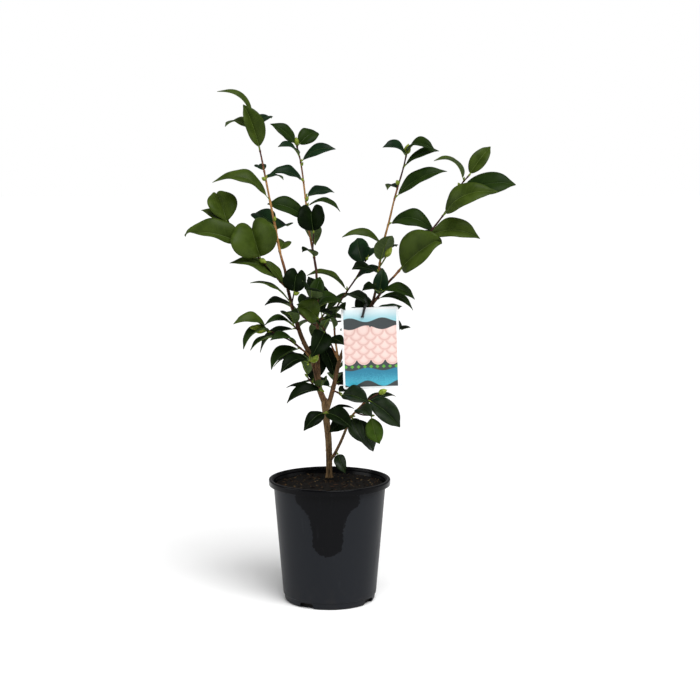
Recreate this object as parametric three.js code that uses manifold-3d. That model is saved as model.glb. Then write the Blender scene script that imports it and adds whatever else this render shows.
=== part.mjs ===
// A young camellia, a broad-leaved evergreen shrub, growing in a black plastic nursery pot. One trunk
// forks low down into slender boughs, and every leafy shoot on them is a solid of its own. A printed
// card hangs from the right-hand bough on a strap. Millimetres, +Z up. The origin is the middle of the
// pot's underside, +X is to the right and the front of the plant faces -Y.
import * as THREE from 'three';
import { mergeVertices } from 'three/addons/utils/BufferGeometryUtils.js';
import Module from 'manifold-3d';

const wasm = await Module();
wasm.setup();

// Driving dimensions of the pot
const POT_HEIGHT = 205;
const RIM_RADIUS = 101.5;
const LIP_HEIGHT = 10;
const LIP_WIDTH = 6.8;
const LIP_ROUND = 2.4;
const NECK_RADIUS = 93.5;
const BASE_RADIUS = 78;
const LEDGE_HEIGHT = 12;
const LEDGE_DEPTH = 1.6;
const WALL = 2.2;
const POT_SIDES = 32;
const NOTCH_COUNT = 4;
const NOTCH_FIRST = -120;
const NOTCH_WIDTH = 26;
const NOTCH_HEIGHT = 9;
const NOTCH_DEPTH = 20;

// Driving dimensions of the plant
const SOIL_EDGE = 195;
const SOIL_TOP = 201;
const MOUND_RADIUS = 46;
const MOUND_FALL = 0.72;
const CLEAR = 0.3;
const NEAR = 0.01;
const TRUNK_FOOT = 5.2;
const TRUNK_TIP = 6;
const FLARE = 2.2;
const FLARE_HEIGHT = 12;
const LEAF_WIDTH = 0.52;
const LEAF_THICK = 0.02;
const LEAF_STALK = 0.09;
const LEAF_FOLD = 0.2;
const LEAF_ARCH = 0.09;
const STALK_RADIUS = 1.25;
const LEAF_SPACE = 1.2;
const SWING = 8;
const LIFT = 0.06;
const TRIES = [0, 1, -1, 2, -2, 3, -3, 4, -4];
const BOUGH_SIDES = 7;
const TWIG_SIDES = 6;
const TWIG_STEP = 30;
const BUD_SIDES = 5;
const BLADE_RINGS = [0.18, 0.45, 0.75];
const GOLDEN_TURN = 137.5;
const LEAF_LONG = 58;
const LEAF_VARY = 20;
const LEAF_OPEN = 40;
const LEAF_DROOP = 0.12;
const TWIG_LONG = 44;
const TWIG_VARY = 12;
const TWIG_OPEN = 55;
const TWIG_SAG = 0.06;
const TWIG_RADII = [1.3, 1.1];
const TWIG_LEAVES = 2;
const BUD_SHAPE = [0.22, 0.5, 0.36, 0.06];

// Driving dimensions of the hanging card
const CARD_WIDTH = 94;
const CARD_HEIGHT = 135;
const CARD_THICK = 1;
const CARD_PLACE = [66, 2, 423];
const CARD_LEAN = 1.8;
const BACK_CARD_LEAN = 3.2;
const STRAP_WIDTH = 5;
const STRAP_THICK = 1.4;
const STRAP_RING = 5.2;
const STRAP_SHARE = 0.72;
const STRAP_REACH = 18;

const COLOURS = {
  pot: 0x1f2326,
  soil: 0x2a2019,
  bark: 0x6b5440,
  twig: 0x5c3a24,
  leaf: 0x2c3f18,
  card: 0xe9ecec,
  strap: 0x16181a,
};

const UP = new THREE.Vector3(0, 0, 1);
const FRONT = new THREE.Vector3(0, -1, 0);
const degrees = THREE.MathUtils.degToRad;
const plant = new THREE.Group();

function finish(colour, roughness) {
  return new THREE.MeshStandardMaterial({ color: colour, roughness, metalness: 0 });
}

function addMesh(name, geometry, material) {
  const mesh = new THREE.Mesh(geometry, material);
  mesh.name = name;
  plant.add(mesh);
  return mesh;
}

// A closed skin over a row of rings. Each ring turns anticlockwise as seen from the last one, and a
// ring of one place is a point. flips(j) turns the diagonal of the faces in column j.
function loft(rings, flips = () => false) {
  const places = rings.flat();
  const starts = [];
  let count = 0;
  for (const ring of rings) {
    starts.push(count);
    count += ring.length;
  }
  const faces = [];
  const sides = Math.max(...rings.map((ring) => ring.length));
  for (let i = 0; i + 1 < rings.length; i += 1) {
    const low = (j) => starts[i] + (rings[i].length === 1 ? 0 : j % sides);
    const high = (j) => starts[i + 1] + (rings[i + 1].length === 1 ? 0 : j % sides);
    for (let j = 0; j < sides; j += 1) {
      if (rings[i].length === 1) {
        faces.push(low(j), high(j + 1), high(j));
      } else if (rings[i + 1].length === 1) {
        faces.push(low(j), low(j + 1), high(j));
      } else if (flips(j)) {
        faces.push(low(j), low(j + 1), high(j), low(j + 1), high(j + 1), high(j));
      } else {
        faces.push(low(j), low(j + 1), high(j + 1), low(j), high(j + 1), high(j));
      }
    }
  }
  const last = starts[rings.length - 1];
  for (let j = 1; j + 1 < sides; j += 1) {
    if (rings[0].length > 1) {
      faces.push(0, j + 1, j);
    }
    if (rings[rings.length - 1].length > 1) {
      faces.push(last, last + j, last + j + 1);
    }
  }
  const geometry = new THREE.BufferGeometry().setFromPoints(places);
  geometry.setIndex(faces);
  return geometry;
}

// The solid inside a closed geometry, for joining and cutting
function solidOf(geometry) {
  const bare = geometry.clone();
  bare.deleteAttribute('normal');
  bare.deleteAttribute('uv');
  const merged = mergeVertices(bare, 1e-4);
  const index = merged.index.array;
  const kept = [];
  for (let i = 0; i < index.length; i += 3) {
    const [a, b, c] = [index[i], index[i + 1], index[i + 2]];
    if (a !== b && b !== c && c !== a) {
      kept.push(a, b, c);
    }
  }
  return new wasm.Manifold(new wasm.Mesh({
    numProp: 3,
    vertProperties: new Float32Array(merged.attributes.position.array),
    triVerts: new Uint32Array(kept),
  }));
}

function geometryOf(solid) {
  const mesh = solid.getMesh();
  const geometry = new THREE.BufferGeometry();
  geometry.setAttribute('position', new THREE.BufferAttribute(mesh.vertProperties, 3));
  geometry.setIndex(new THREE.BufferAttribute(mesh.triVerts, 1));
  geometry.computeVertexNormals();
  return geometry;
}

// The largest piece of a solid, without any loose scraps
function wholePiece(solid) {
  return solid.decompose().reduce((best, piece) => (piece.volume() > best.volume() ? piece : best));
}

// Everything that a leaf has to keep clear of, with the mass that it belongs to
const taken = [];

function take(solid, owner) {
  taken.push({ solid, owner, box: solid.boundingBox() });
}

function boxesMeet(a, b, space) {
  return [0, 1, 2].every((k) => a.min[k] - space < b.max[k] && b.min[k] - space < a.max[k]);
}

// Whether a solid lies at least a space away from all that is taken, apart from its own
function isFree(solid, space, own = []) {
  const box = solid.boundingBox();
  return taken.every((other) => own.includes(other.owner) || !boxesMeet(box, other.box, space)
    || solid.minGap(other.solid, 2 * space) >= space);
}

// The middle line of a stem: a smooth curve through a few places
class StemLine extends THREE.Curve {
  constructor(places) {
    super();
    this.places = places.map((place) => new THREE.Vector3(...place));
    this.reach = [0];
    for (let i = 1; i < places.length; i += 1) {
      this.reach.push(this.reach[i - 1] + this.places[i].distanceTo(this.places[i - 1]));
    }
    this.long = this.reach[places.length - 1];
  }

  slope(i) {
    const a = Math.max(i - 1, 0);
    const b = Math.min(i + 1, this.places.length - 1);
    return this.places[b].clone().sub(this.places[a]).divideScalar(this.reach[b] - this.reach[a]);
  }

  getPoint(share) {
    const run = share * this.long;
    let i = 0;
    while (i + 2 < this.places.length && run > this.reach[i + 1]) {
      i += 1;
    }
    const span = this.reach[i + 1] - this.reach[i];
    const t = (run - this.reach[i]) / span;
    const place = this.places[i].clone().multiplyScalar((1 + 2 * t) * (1 - t) ** 2);
    place.addScaledVector(this.slope(i), span * t * (1 - t) ** 2);
    place.addScaledVector(this.places[i + 1], t * t * (3 - 2 * t));
    return place.addScaledVector(this.slope(i + 1), span * t * t * (t - 1));
  }

  heading(share) {
    return this.getPoint(share + NEAR).sub(this.getPoint(share - NEAR)).normalize();
  }
}

// A tapering round limb along a line. radius(share) is its thickness, and over is how far it runs on
// past the line's end.
function limb(line, radius, { sides = BOUGH_SIDES, step = TWIG_STEP, over = 0 } = {}) {
  const steps = Math.max(2, Math.round(line.long / step));
  const rings = [];
  let side = null;
  for (let i = 0; i <= steps; i += 1) {
    const share = i === steps ? 1 + over / line.long : i / steps;
    const along = line.heading(share);
    side = side ?? (Math.abs(along.x) < 0.9 ? new THREE.Vector3(1, 0, 0) : new THREE.Vector3(0, 1, 0));
    side.addScaledVector(along, -side.dot(along)).normalize();
    const across = along.clone().cross(side);
    const ring = [];
    for (let j = 0; j < sides; j += 1) {
      const turn = (2 * Math.PI * j) / sides;
      const place = line.getPoint(share);
      place.addScaledVector(side, radius(share) * Math.cos(turn));
      place.addScaledVector(across, radius(share) * Math.sin(turn));
      ring.push(place);
    }
    rings.push(ring);
  }
  return loft(rings);
}

// The pot: a thin tapering wall with a rolled lip, a ledge near its foot and notches that let water out
function potProfile() {
  const lipFoot = POT_HEIGHT - LIP_HEIGHT;
  const lip = NECK_RADIUS + LIP_WIDTH;
  return [
    [0, 0],
    [BASE_RADIUS - 7, 0],
    [BASE_RADIUS - 4.2, 1.2],
    [BASE_RADIUS - LEDGE_DEPTH - 0.8, 5],
    [BASE_RADIUS - LEDGE_DEPTH, LEDGE_HEIGHT - 1],
    [BASE_RADIUS, LEDGE_HEIGHT],
    [NECK_RADIUS, lipFoot],
    [lip, lipFoot + 0.6],
    [RIM_RADIUS, lipFoot + 3],
    [RIM_RADIUS, POT_HEIGHT - LIP_ROUND],
    [RIM_RADIUS - LIP_ROUND, POT_HEIGHT],
    [NECK_RADIUS + 3, POT_HEIGHT],
    [NECK_RADIUS + 0.8, POT_HEIGHT - LIP_ROUND],
    [NECK_RADIUS - WALL, lipFoot - 3],
    [BASE_RADIUS - WALL, LEDGE_HEIGHT + 2],
    [BASE_RADIUS - LEDGE_DEPTH - WALL - 2, WALL],
    [0, WALL],
  ].map(([r, z]) => new THREE.Vector2(r, z));
}

// A solid of revolution about the pot's axis
function turned(profile) {
  return solidOf(new THREE.LatheGeometry(profile, POT_SIDES).rotateX(Math.PI / 2));
}

function notch(bearing) {
  const box = new THREE.BoxGeometry(NOTCH_DEPTH, NOTCH_WIDTH, 2 * NOTCH_HEIGHT);
  box.translate(BASE_RADIUS, 0, 0).rotateZ(degrees(bearing));
  return solidOf(box);
}

function makePot() {
  let pot = turned(potProfile());
  for (let i = 0; i < NOTCH_COUNT; i += 1) {
    pot = pot.subtract(notch(NOTCH_FIRST + (360 * i) / NOTCH_COUNT));
  }
  return pot;
}

// The potting mix fills the pot nearly to its rim, and is mounded up to the trunk
function makeSoil() {
  const inner = (z) => {
    const share = (z - LEDGE_HEIGHT - 2) / (POT_HEIGHT - LIP_HEIGHT - 3 - LEDGE_HEIGHT - 2);
    return BASE_RADIUS - WALL + (NECK_RADIUS - BASE_RADIUS) * share - 2 * CLEAR;
  };
  return turned([
    [0, WALL + CLEAR],
    [BASE_RADIUS - LEDGE_DEPTH - WALL - 3, WALL + CLEAR],
    [inner(LEDGE_HEIGHT + 2), LEDGE_HEIGHT + 2],
    [inner(SOIL_EDGE - 3), SOIL_EDGE - 3],
    [inner(SOIL_EDGE - 3), SOIL_EDGE],
    [1.3 * MOUND_RADIUS, SOIL_EDGE + MOUND_FALL * (SOIL_TOP - SOIL_EDGE)],
    [MOUND_RADIUS, SOIL_TOP],
    [0, SOIL_TOP],
  ].map(([r, z]) => new THREE.Vector2(r, z)));
}

const potSolid = makePot();
const soilSolid = makeSoil();
take(potSolid, 'pot');
take(soilSolid, 'soil');
addMesh('pot', geometryOf(potSolid), finish(COLOURS.pot, 0.35));
addMesh('soil', geometryOf(soilSolid), finish(COLOURS.soil, 1));

// Trunk and boughs. Each is one tapering limb: its line, the radius at its foot and at its tip, and
// the limb that it springs from or carries on from.
const LIMBS = {
  trunk: {
    line: [[-1, 22, SOIL_TOP + CLEAR], [-1, 21, 231], [-2, 16, 266], [-5, 11, 298], [-8, 6, 331]],
    radii: [TRUNK_FOOT, TRUNK_TIP],
  },
  bough_left: {
    line: [[-8, 6, 331], [-16, 2, 353], [-25, -6, 396], [-48, -14, 450], [-67, -20, 521], [-72, -20, 554]],
    radii: [5.4, 2.3],
    from: 'trunk',
  },
  bough_middle: {
    line: [[-15, 2, 350], [-19, 10, 402], [-20, 16, 452], [-20, 20, 501], [-22, 24, 551]],
    radii: [3, 2.1],
    from: 'bough_left',
  },
  bough_right: {
    line: [
      [-6, 9, 314], [1, 13, 336], [8, 17, 362], [17, 22, 401],
      [38, 27, 447], [69, 30, 490], [81, 38, 536],
    ],
    radii: [4.4, 2.2],
    from: 'trunk',
  },
  bough_far_right: {
    line: [[67, 30, 487], [84, 24, 511], [98, 18, 531], [107, 13, 541]],
    radii: [2.5, 2.1],
    from: 'bough_right',
  },
  bough_low_right: {
    line: [[-1, 21, 228], [9, 11, 245], [22, 0, 274], [34, -10, 308]],
    radii: [2.9, 2.3],
    from: 'trunk',
  },
};

// The thickness at a share of a limb's length, with the trunk's foot flared at the soil
function limbRadius(name, line) {
  const [foot, tip] = LIMBS[name].radii;
  const flare = name === 'trunk' ? FLARE : 0;
  return (share) => foot + (tip - foot) * share
    + flare * Math.exp((-3 * share * line.long) / FLARE_HEIGHT);
}

const limbLines = {};

// The room that a limb keeps clear of what springs from it
function roomRound(name) {
  const radius = limbRadius(name, limbLines[name]);
  return solidOf(limb(limbLines[name], (share) => radius(share) + CLEAR, { over: CLEAR }));
}

for (const [name, { line, from }] of Object.entries(LIMBS)) {
  limbLines[name] = new StemLine(line);
  const radius = limbRadius(name, limbLines[name]);
  let solid = solidOf(limb(limbLines[name], radius));
  if (name === 'trunk') {
    // The foot's ring is laid level on the soil
    const floor = new THREE.BoxGeometry(60, 60, 20).translate(-1, 22, SOIL_TOP + CLEAR - 10);
    solid = solid.subtract(solidOf(floor));
  }
  if (from) {
    solid = wholePiece(solid.subtract(roomRound(from)));
  }
  take(solid, name);
  addMesh(name, geometryOf(solid), finish(COLOURS.bark, 0.85));
}

// The card and its strap. Two cards hang one behind the other from the right-hand bough.
function cardSolid(lean, back) {
  const card = new THREE.BoxGeometry(CARD_WIDTH, CARD_THICK, CARD_HEIGHT);
  card.translate(0, back, -CARD_HEIGHT / 2).rotateY(degrees(-lean));
  card.translate(CARD_PLACE[0], CARD_PLACE[1], CARD_PLACE[2] + CARD_HEIGHT / 2);
  return solidOf(card);
}

const frontCard = cardSolid(CARD_LEAN, 0);
const backCard = cardSolid(BACK_CARD_LEAN, CARD_THICK + CLEAR);
take(frontCard, 'card');
take(backCard, 'card');
addMesh('card_front', geometryOf(frontCard), finish(COLOURS.card, 0.4));
addMesh('card_back', geometryOf(backCard), finish(COLOURS.card, 0.4));

// The strap goes round the bough and down over the card's top edge
function makeStrap() {
  const [x, y] = CARD_PLACE;
  const front = y - CARD_THICK / 2 - CLEAR - STRAP_THICK / 2;
  const top = CARD_PLACE[2] + CARD_HEIGHT / 2;
  const inner = STRAP_RING - STRAP_THICK;
  const ring = new THREE.LatheGeometry([
    [inner, -STRAP_WIDTH / 2],
    [STRAP_RING, -STRAP_WIDTH / 2],
    [STRAP_RING, STRAP_WIDTH / 2],
    [inner, STRAP_WIDTH / 2],
    [inner, -STRAP_WIDTH / 2],
  ].map(([r, h]) => new THREE.Vector2(r, h)), 16);
  const heading = limbLines.bough_right.heading(STRAP_SHARE);
  ring.applyQuaternion(new THREE.Quaternion().setFromUnitVectors(new THREE.Vector3(0, 1, 0), heading));
  const centre = limbLines.bough_right.getPoint(STRAP_SHARE);
  ring.translate(...centre.toArray());
  const tongue = new StemLine([
    [centre.x - 1, centre.y - STRAP_RING + 0.6, centre.z],
    [x - 5, y + 6, top + 4],
    [x - 6, y - 1, top + 2.6],
    [x - 6.5, front - 0.7, top - 3],
    [x - 7, front - 0.5, top - STRAP_REACH],
  ]);
  const band = new THREE.Shape([[-1, -1], [1, -1], [1, 1], [-1, 1]].map(
    ([a, b]) => new THREE.Vector2((a * STRAP_WIDTH) / 2, (b * STRAP_THICK) / 2),
  ));
  const strip = new THREE.ExtrudeGeometry(band, { steps: 10, bevelEnabled: false, extrudePath: tongue });
  return solidOf(ring).add(solidOf(strip));
}

// The leafy shoots. Each mass has one stem, given by its line and its radii, which springs from a limb
// or carries on from a limb's tip. A leaf is [share of the stem, right, away, up, turn, width, arch]:
// where it is rooted, how far off its tip lies, how far its face is turned to the front in degrees,
// and its width and arch as shares of its length. A bud is [share, right, away, up, thickness].
const SHOOTS = {
  left_top: {
    line: [
      [-72, -20, 554], [-80, -18, 583], [-86, -15, 615],
      [-98, -8, 675], [-113, 6, 748], [-124, 18, 790],
    ],
    radii: [2.2, 1.2],
    from: 'bough_left',
    leaves: [
      [1, -54, -6, 56, 20, 0.36, 0.2],
      [0.98, 27, 44, 19, 20, 0.42, 0.1],
      [0.95, -52, 34, 11, 20, 0.46, 0.18],
      [0.81, -24, -12, 74, 88, 0.43, 0.06],
      [0.62, 28, 34, 0, 10, 0.42],
      [0.67, -14, 38, 11, 8, 0.44],
      [0.47, -90, -14, 34, 30, 0.44, 0.24],
      [0.29, -38, 44, 24, 22, 0.6],
      [0.27, 18, 44, 6, 14, 0.66],
      [0.13, 8, 38, 14, 20, 0.6],
    ],
    buds: [[0.61, -7, -3, 4, 6.5], [0.33, 3, -4, 9, 5]],
  },
  far_left: {
    line: [
      [-67, -20, 523], [-80, -26, 536], [-95, -32, 555],
      [-111, -34, 572], [-143, -28, 602], [-165, -18, 627],
    ],
    radii: [1.8, 1.2],
    from: 'bough_left',
    leaves: [
      [1, -20, 26, 54, 18, 0.78, 0.08],
      [0.9, -52, 26, 38, 15, 0.4],
      [0.68, -101, -8, 22, 45, 0.44, 0.12],
      [0.45, -18, 8, 60, 65, 1.16, 0.2],
      [0.13, -76, -24, 40, 25, 0.5, 0.14],
      [0.05, -34, -8, 44, 40, 0.42],
    ],
    buds: [[0.46, 10, -8, -5, 8]],
  },
  left_spur: {
    line: [[-62, -18, 492], [-60, -26, 503], [-57, -31, 516]],
    radii: [1.5, 1.2],
    from: 'bough_left',
    leaves: [
      [1, 6, 4, 41, 25, 0.9, 0.2],
      [0.3, -64, -22, 40, 10, 0.42, 0.12],
    ],
    buds: [[0.95, 10, -8, 4, 6]],
  },
  left_low: {
    line: [[-49, -14, 452], [-54, -24, 459], [-58, -32, 464]],
    radii: [1.5, 1.2],
    from: 'bough_left',
    leaves: [
      [1, -44, -30, 8, 20, 0.45, 0.16],
      [0.9, -28, -44, 22, 10],
      [0.5, -60, -16, -28, 15, 0.42, 0.16],
    ],
    buds: [],
  },
  low_left: {
    line: [[-29, -7, 408], [-43, -20, 422], [-65, -36, 441], [-101, -54, 460]],
    radii: [1.8, 1.3],
    from: 'bough_left',
    leaves: [
      [0.98, -52, -28, 14, 30, 0.5, 0.2],
      [0.9, -44, -36, -22, 5, 0.4, 0.22],
      [0.66, -58, -26, -18, 0, 0.34, 0.12],
      [0.42, -36, -44, 16, 25, 0.5, 0.14],
      [0.3, -48, -28, -26, 15],
    ],
    buds: [[0.99, -27, -16, 5, 14]],
  },
  middle_top: {
    line: [[-22, 24, 551], [-27, 28, 580], [-34, 32, 616], [-39, 38, 661], [-47, 50, 723], [-55, 58, 758]],
    radii: [2, 1.2],
    from: 'bough_middle',
    leaves: [
      [0.99, -41, -10, 37, 60, 0.46, 0.1],
      [0.98, 34, 32, 26, 45, 0.56, 0.18],
      [0.9, -31, -32, 19, 30, 0.52, 0.14],
      [0.85, 57, -16, 24, 40, 0.46, 0.16],
      [0.7, -52, -26, 16, 40, 0.48, 0.14],
      [0.57, 48, 36, 12, 20],
      [0.5, 56, -26, -2, 15, 0.48, 0.18],
      [0.4, -64, -20, 28, 50, 0.52, 0.12],
      [0.33, 10, 50, -28, 0],
      [0.1, -16, -46, 16, 20],
    ],
    twigs: [{ share: 0.16, tip: [2, -26, 28], leaves: [[1, -5, 8, 46, 36, 0.94, 0.14]] }],
    buds: [[0.99, -1, -2, 14, 8], [0.82, 3, -3, 7, 4], [0.7, -3, -3, 5, 4.5], [0.54, 5, -3, 8, 5]],
  },
  middle_spur: {
    line: [[-20, 18, 478], [-24, 2, 486], [-30, -12, 500]],
    radii: [1.6, 1.2],
    from: 'bough_middle',
    leaves: [
      [1, -42, -58, 14, 30, 0.5],
      [0.9, 14, 14, 44, 50, 0.5],
      [0.5, 46, -14, 14, 20],
    ],
    buds: [],
  },
  centre_front: {
    line: [[14, 19, 402], [-7, -6, 451], [-17, -20, 472]],
    radii: [1.7, 1.2],
    from: 'bough_right',
    leaves: [
      [1, -23, -34, 36, 76, 0.84, 0.1],
      [0.74, -58, -14, 30, 30, 0.46, 0.12],
      [0.7, -20, -42, -36, 40, 0.6, 0.14],
      [0.5, 13, -44, -8, 30],
      [0.8, 19, -46, 27, 25],
    ],
    buds: [],
  },
  centre_left: {
    line: [[-28, -7, 403], [-28, -18, 406], [-33, -32, 402]],
    radii: [1.5, 1.2],
    from: 'bough_left',
    leaves: [
      [1, -50, -44, -9, 20, 0.42, 0.2],
      [0.7, -62, 6, -6, 12, 0.42, 0.18],
    ],
    buds: [[0.5, 8, -22, 12, 15]],
  },
  lower_left: {
    line: [[-17, 1, 356], [-14, -14, 358], [-10, -28, 356]],
    radii: [1.5, 1.2],
    from: 'bough_left',
    leaves: [
      [1, -59, -22, -15, 25, 0.42, 0.16],
      [0.8, -59, 10, 6, 10, 0.4],
      [0.5, 6, -40, 22, 20],
    ],
    buds: [],
  },
  low_front: {
    line: [[-6, 10, 308], [-8, -4, 316], [-6, -18, 318]],
    radii: [1.6, 1.2],
    from: 'trunk',
    leaves: [
      [1, 42, -34, -18, 35, 0.55, 0.14],
      [0.9, -30, -36, -20, 35, 0.5, 0.22],
      [0.5, 48, -8, 12, 10, 0.45],
    ],
    buds: [],
  },
  low_right: {
    line: [[34, -10, 308], [54, -16, 331], [67, -20, 342], [82, -24, 352]],
    radii: [1.9, 1.2],
    from: 'bough_low_right',
    twigs: [{ share: 0.2, tip: [26, -20, -2], leaves: [[1, 12, -10, -46, 70, 0.66, 0.08]] }],
    leaves: [
      [0.66, 52, -26, -40, 50, 0.5, 0.2],
      [0.5, 54, 22, 14, 20, 0.4],
      [0.3, 22, -46, -2, 30],
      [0.06, 20, -30, -40, 50, 0.5, 0.12],
      [0.05, 38, 6, -60, 70, 0.45, 0.1],
      [0.04, -34, -32, -18, 45, 0.5],
    ],
    buds: [[0.99, 14, -2, 6, 9]],
  },
  foot_spur: {
    line: [[8, 12, 241], [12, 2, 246], [13, -8, 248]],
    radii: [1.4, 1.2],
    from: 'bough_low_right',
    leaves: [
      [1, 13, -24, -28, 35, 0.5, 0.14],
    ],
    buds: [],
  },
  right_low: {
    line: [[4, 14, 350], [12, 6, 349], [18, -4, 346]],
    radii: [1.5, 1.2],
    from: 'bough_right',
    leaves: [
      [1, 46, -26, -8, 40, 0.62, 0.12],
      [0.6, 34, 42, 2, 10],
    ],
    buds: [],
  },
  right_inner: {
    line: [[15, 21, 397], [8, 40, 449], [12, 50, 485], [26, 58, 508], [44, 64, 534], [62, 72, 566]],
    radii: [1.9, 1.2],
    from: 'bough_right',
    leaves: [
      [0.99, 10, 38, 20, 10],
      [0.93, -10, 30, 46, 30, 0.66, 0.12],
      [0.79, 48, -8, 19, 25, 0.46, 0.14],
      [0.67, -65, -14, 32, 10, 0.42, 0.14],
      [0.62, 40, -42, -10, 15],
      [0.57, -42, -40, -4, 30],
      [0.42, 14, -52, 20, 20],
      [0.3, -22, -32, 34, 45],
    ],
    buds: [[0.99, 3, -2, 6, 5.5]],
  },
  right_top: {
    line: [
      [81, 38, 536], [84, 42, 563], [91, 47, 599], [99, 52, 629],
      [109, 58, 670], [123, 65, 718], [129, 70, 744],
    ],
    radii: [2.1, 1.2],
    from: 'bough_right',
    leaves: [
      [0.99, 44, -38, 8, 30, 0.5, 0.26],
      [0.97, -36, -34, 18, 45, 0.55, 0.14],
      [0.88, 55, -24, 31, 35, 0.42, 0.12],
      [0.71, -16, 48, 2, 5, 0.4],
      [0.63, 84, -12, 49, 45, 0.34, 0.12],
      [0.42, 76, -26, -6, 40, 0.48, 0.26],
      [0.26, -68, -18, 16, 25, 0.4, 0.14],
      [0.2, 26, 48, 10, 0],
      [0.12, 17, -30, 50, 5, 0.6, 0.05],
      [0.04, -42, -40, 14, 25],
    ],
    buds: [[0.99, 3, -3, 17, 11], [0.745, -4, -4, 7, 7], [0.08, 21, -12, 36, 9.5]],
  },
  right_middle: {
    line: [[76, 27, 500], [81, 16, 506], [84, 6, 516]],
    radii: [1.6, 1.2],
    from: 'bough_far_right',
    leaves: [
      [1, 56, -20, -8, 30, 0.44, 0.22],
      [0.9, -28, -42, 10, 30],
      [0.5, 7, 4, 48, 62, 0.52],
      [0.25, 60, -14, -14, 20, 0.42, 0.24],
    ],
    buds: [],
  },
  far_right: {
    line: [
      [107, 13, 541], [122, 9, 559], [142, 1, 585], [165, -6, 615],
      [189, -8, 647], [215, -6, 692], [226, -6, 705],
    ],
    radii: [2, 1.2],
    from: 'bough_far_right',
    leaves: [
      [1, 37, 14, 49, 55, 0.42, 0.08],
      [0.95, -46, -26, 38, 20, 0.45, 0.2],
      [0.84, 93, -20, 18, 50, 0.48, 0.08],
      [0.63, 81, -42, 44, 58, 0.44, 0.2],
      [0.42, 85, -20, 1, 50, 0.46, 0.2],
      [0.38, 30, 52, 10, 0],
      [0.06, 65, -50, 57, 80, 0.72, 0.06],
    ],
    buds: [[0.9, -4, -3, 6, 5]],
  },
  back_left: {
    line: [[-20, 16, 440], [-18, 56, 460], [-8, 98, 474]],
    radii: [1.8, 1.2],
    from: 'bough_middle',
    rule: { seed: 4, leaves: 6, twigs: 2 },
  },
  back_right: {
    line: [[34, 26, 438], [56, 74, 446], [74, 126, 458]],
    radii: [1.8, 1.2],
    from: 'bough_right',
    rule: { seed: 9, leaves: 6, twigs: 2 },
  },
  back_low: {
    line: [[-6, 10, 300], [2, 50, 340], [12, 96, 380]],
    radii: [1.8, 1.2],
    from: 'trunk',
    rule: { seed: 15, leaves: 6, twigs: 2 },
  },
};

// The seeded rule's numbers, from 0 to 1
function seeded(seed) {
  let state = seed;
  return () => {
    state = (Math.imul(state, 1664525) + 1013904223) >>> 0;
    return state / 4294967296;
  };
}

// A direction that leaves a stem at an angle, at a bearing round it
function aside(line, share, bearing, open) {
  const along = line.heading(share);
  const side = UP.clone().cross(along).normalize();
  const over = along.clone().cross(side);
  return along.clone().multiplyScalar(Math.cos(open))
    .addScaledVector(side, Math.sin(open) * Math.cos(bearing))
    .addScaledVector(over, Math.sin(open) * Math.sin(bearing));
}

// A shoot that no one placed leaf by leaf: side twigs and leaves spiral round its stem
function growByRule(line, { seed, leaves, twigs }) {
  const random = seeded(seed);
  const spiral = (i) => degrees(GOLDEN_TURN * i + 30 * random());
  // The first half of the stem is bare
  const grown = { leaves: [], twigs: [] };
  const leafOn = (stem, i, count) => {
    const share = 1 - (0.5 * i) / count;
    const tip = aside(stem, share, spiral(i), degrees(LEAF_OPEN + 30 * random()));
    tip.z -= LEAF_DROOP;
    tip.setLength(LEAF_LONG + LEAF_VARY * random());
    return [share, tip.x, tip.y, tip.z, 30 * random()];
  };
  for (let i = 0; i < leaves; i += 1) {
    grown.leaves.push(leafOn(line, i, leaves));
  }
  for (let i = 0; i < twigs; i += 1) {
    const share = (i + 1) / (twigs + 1);
    const tip = aside(line, share, degrees(180 * i + 40 * random()), degrees(TWIG_OPEN));
    tip.setLength(TWIG_LONG + TWIG_VARY * random());
    const twig = { share, tip: tip.toArray(), leaves: [] };
    const stem = twigLine(line, twig);
    for (let j = 0; j < TWIG_LEAVES; j += 1) {
      twig.leaves.push(leafOn(stem, j, TWIG_LEAVES));
    }
    grown.twigs.push(twig);
  }
  return grown;
}

// A side twig leaves its stem and bends a little upwards
function twigLine(line, { share, tip }) {
  const foot = line.getPoint(share);
  const way = new THREE.Vector3(...tip);
  const middle = foot.clone().addScaledVector(way, 0.5).addScaledVector(UP, -TWIG_SAG * way.length());
  return new StemLine([foot.toArray(), middle.toArray(), foot.clone().add(way).toArray()]);
}

// Half the width of a blade at a share of its length, as a share of its greatest half width
function bladeHalf(share) {
  return Math.sin(Math.PI * share ** 0.85) ** 0.8;
}

// The rings of one leaf: a round stalk, then a folded, arching blade that ends in a point
function leafRings(root, way, turn, width, arch, fold) {
  const long = way.length();
  const chord = way.clone().normalize();
  const level = chord.clone().cross(UP).normalize();
  const face = level.clone().cross(chord);
  const facing = level.dot(FRONT) < 0 ? -1 : 1;
  face.multiplyScalar(Math.cos(degrees(turn)));
  face.addScaledVector(level, facing * Math.sin(degrees(turn)));
  const across = face.clone().cross(chord);
  const place = (share) => root.clone().addScaledVector(way, share)
    .addScaledVector(face, arch * long * Math.sin(Math.PI * share));
  const thick = LEAF_THICK * long;
  const rings = [0, LEAF_STALK].map((share) => [
    place(share).addScaledVector(across, STALK_RADIUS),
    place(share).addScaledVector(face, STALK_RADIUS),
    place(share).addScaledVector(across, -STALK_RADIUS),
    place(share).addScaledVector(face, -STALK_RADIUS),
  ]);
  for (const part of BLADE_RINGS) {
    const share = LEAF_STALK + (1 - LEAF_STALK) * part;
    const half = 0.5 * width * long * bladeHalf(part);
    const middle = place(share);
    rings.push([
      middle.clone().addScaledVector(across, half).addScaledVector(face, fold * half),
      middle.clone().addScaledVector(face, thick / 2),
      middle.clone().addScaledVector(across, -half).addScaledVector(face, fold * half),
      middle.clone().addScaledVector(face, -thick / 2),
    ]);
  }
  rings.push([place(1)]);
  return rings;
}

const flipOdd = (j) => j % 2 === 1;

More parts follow.
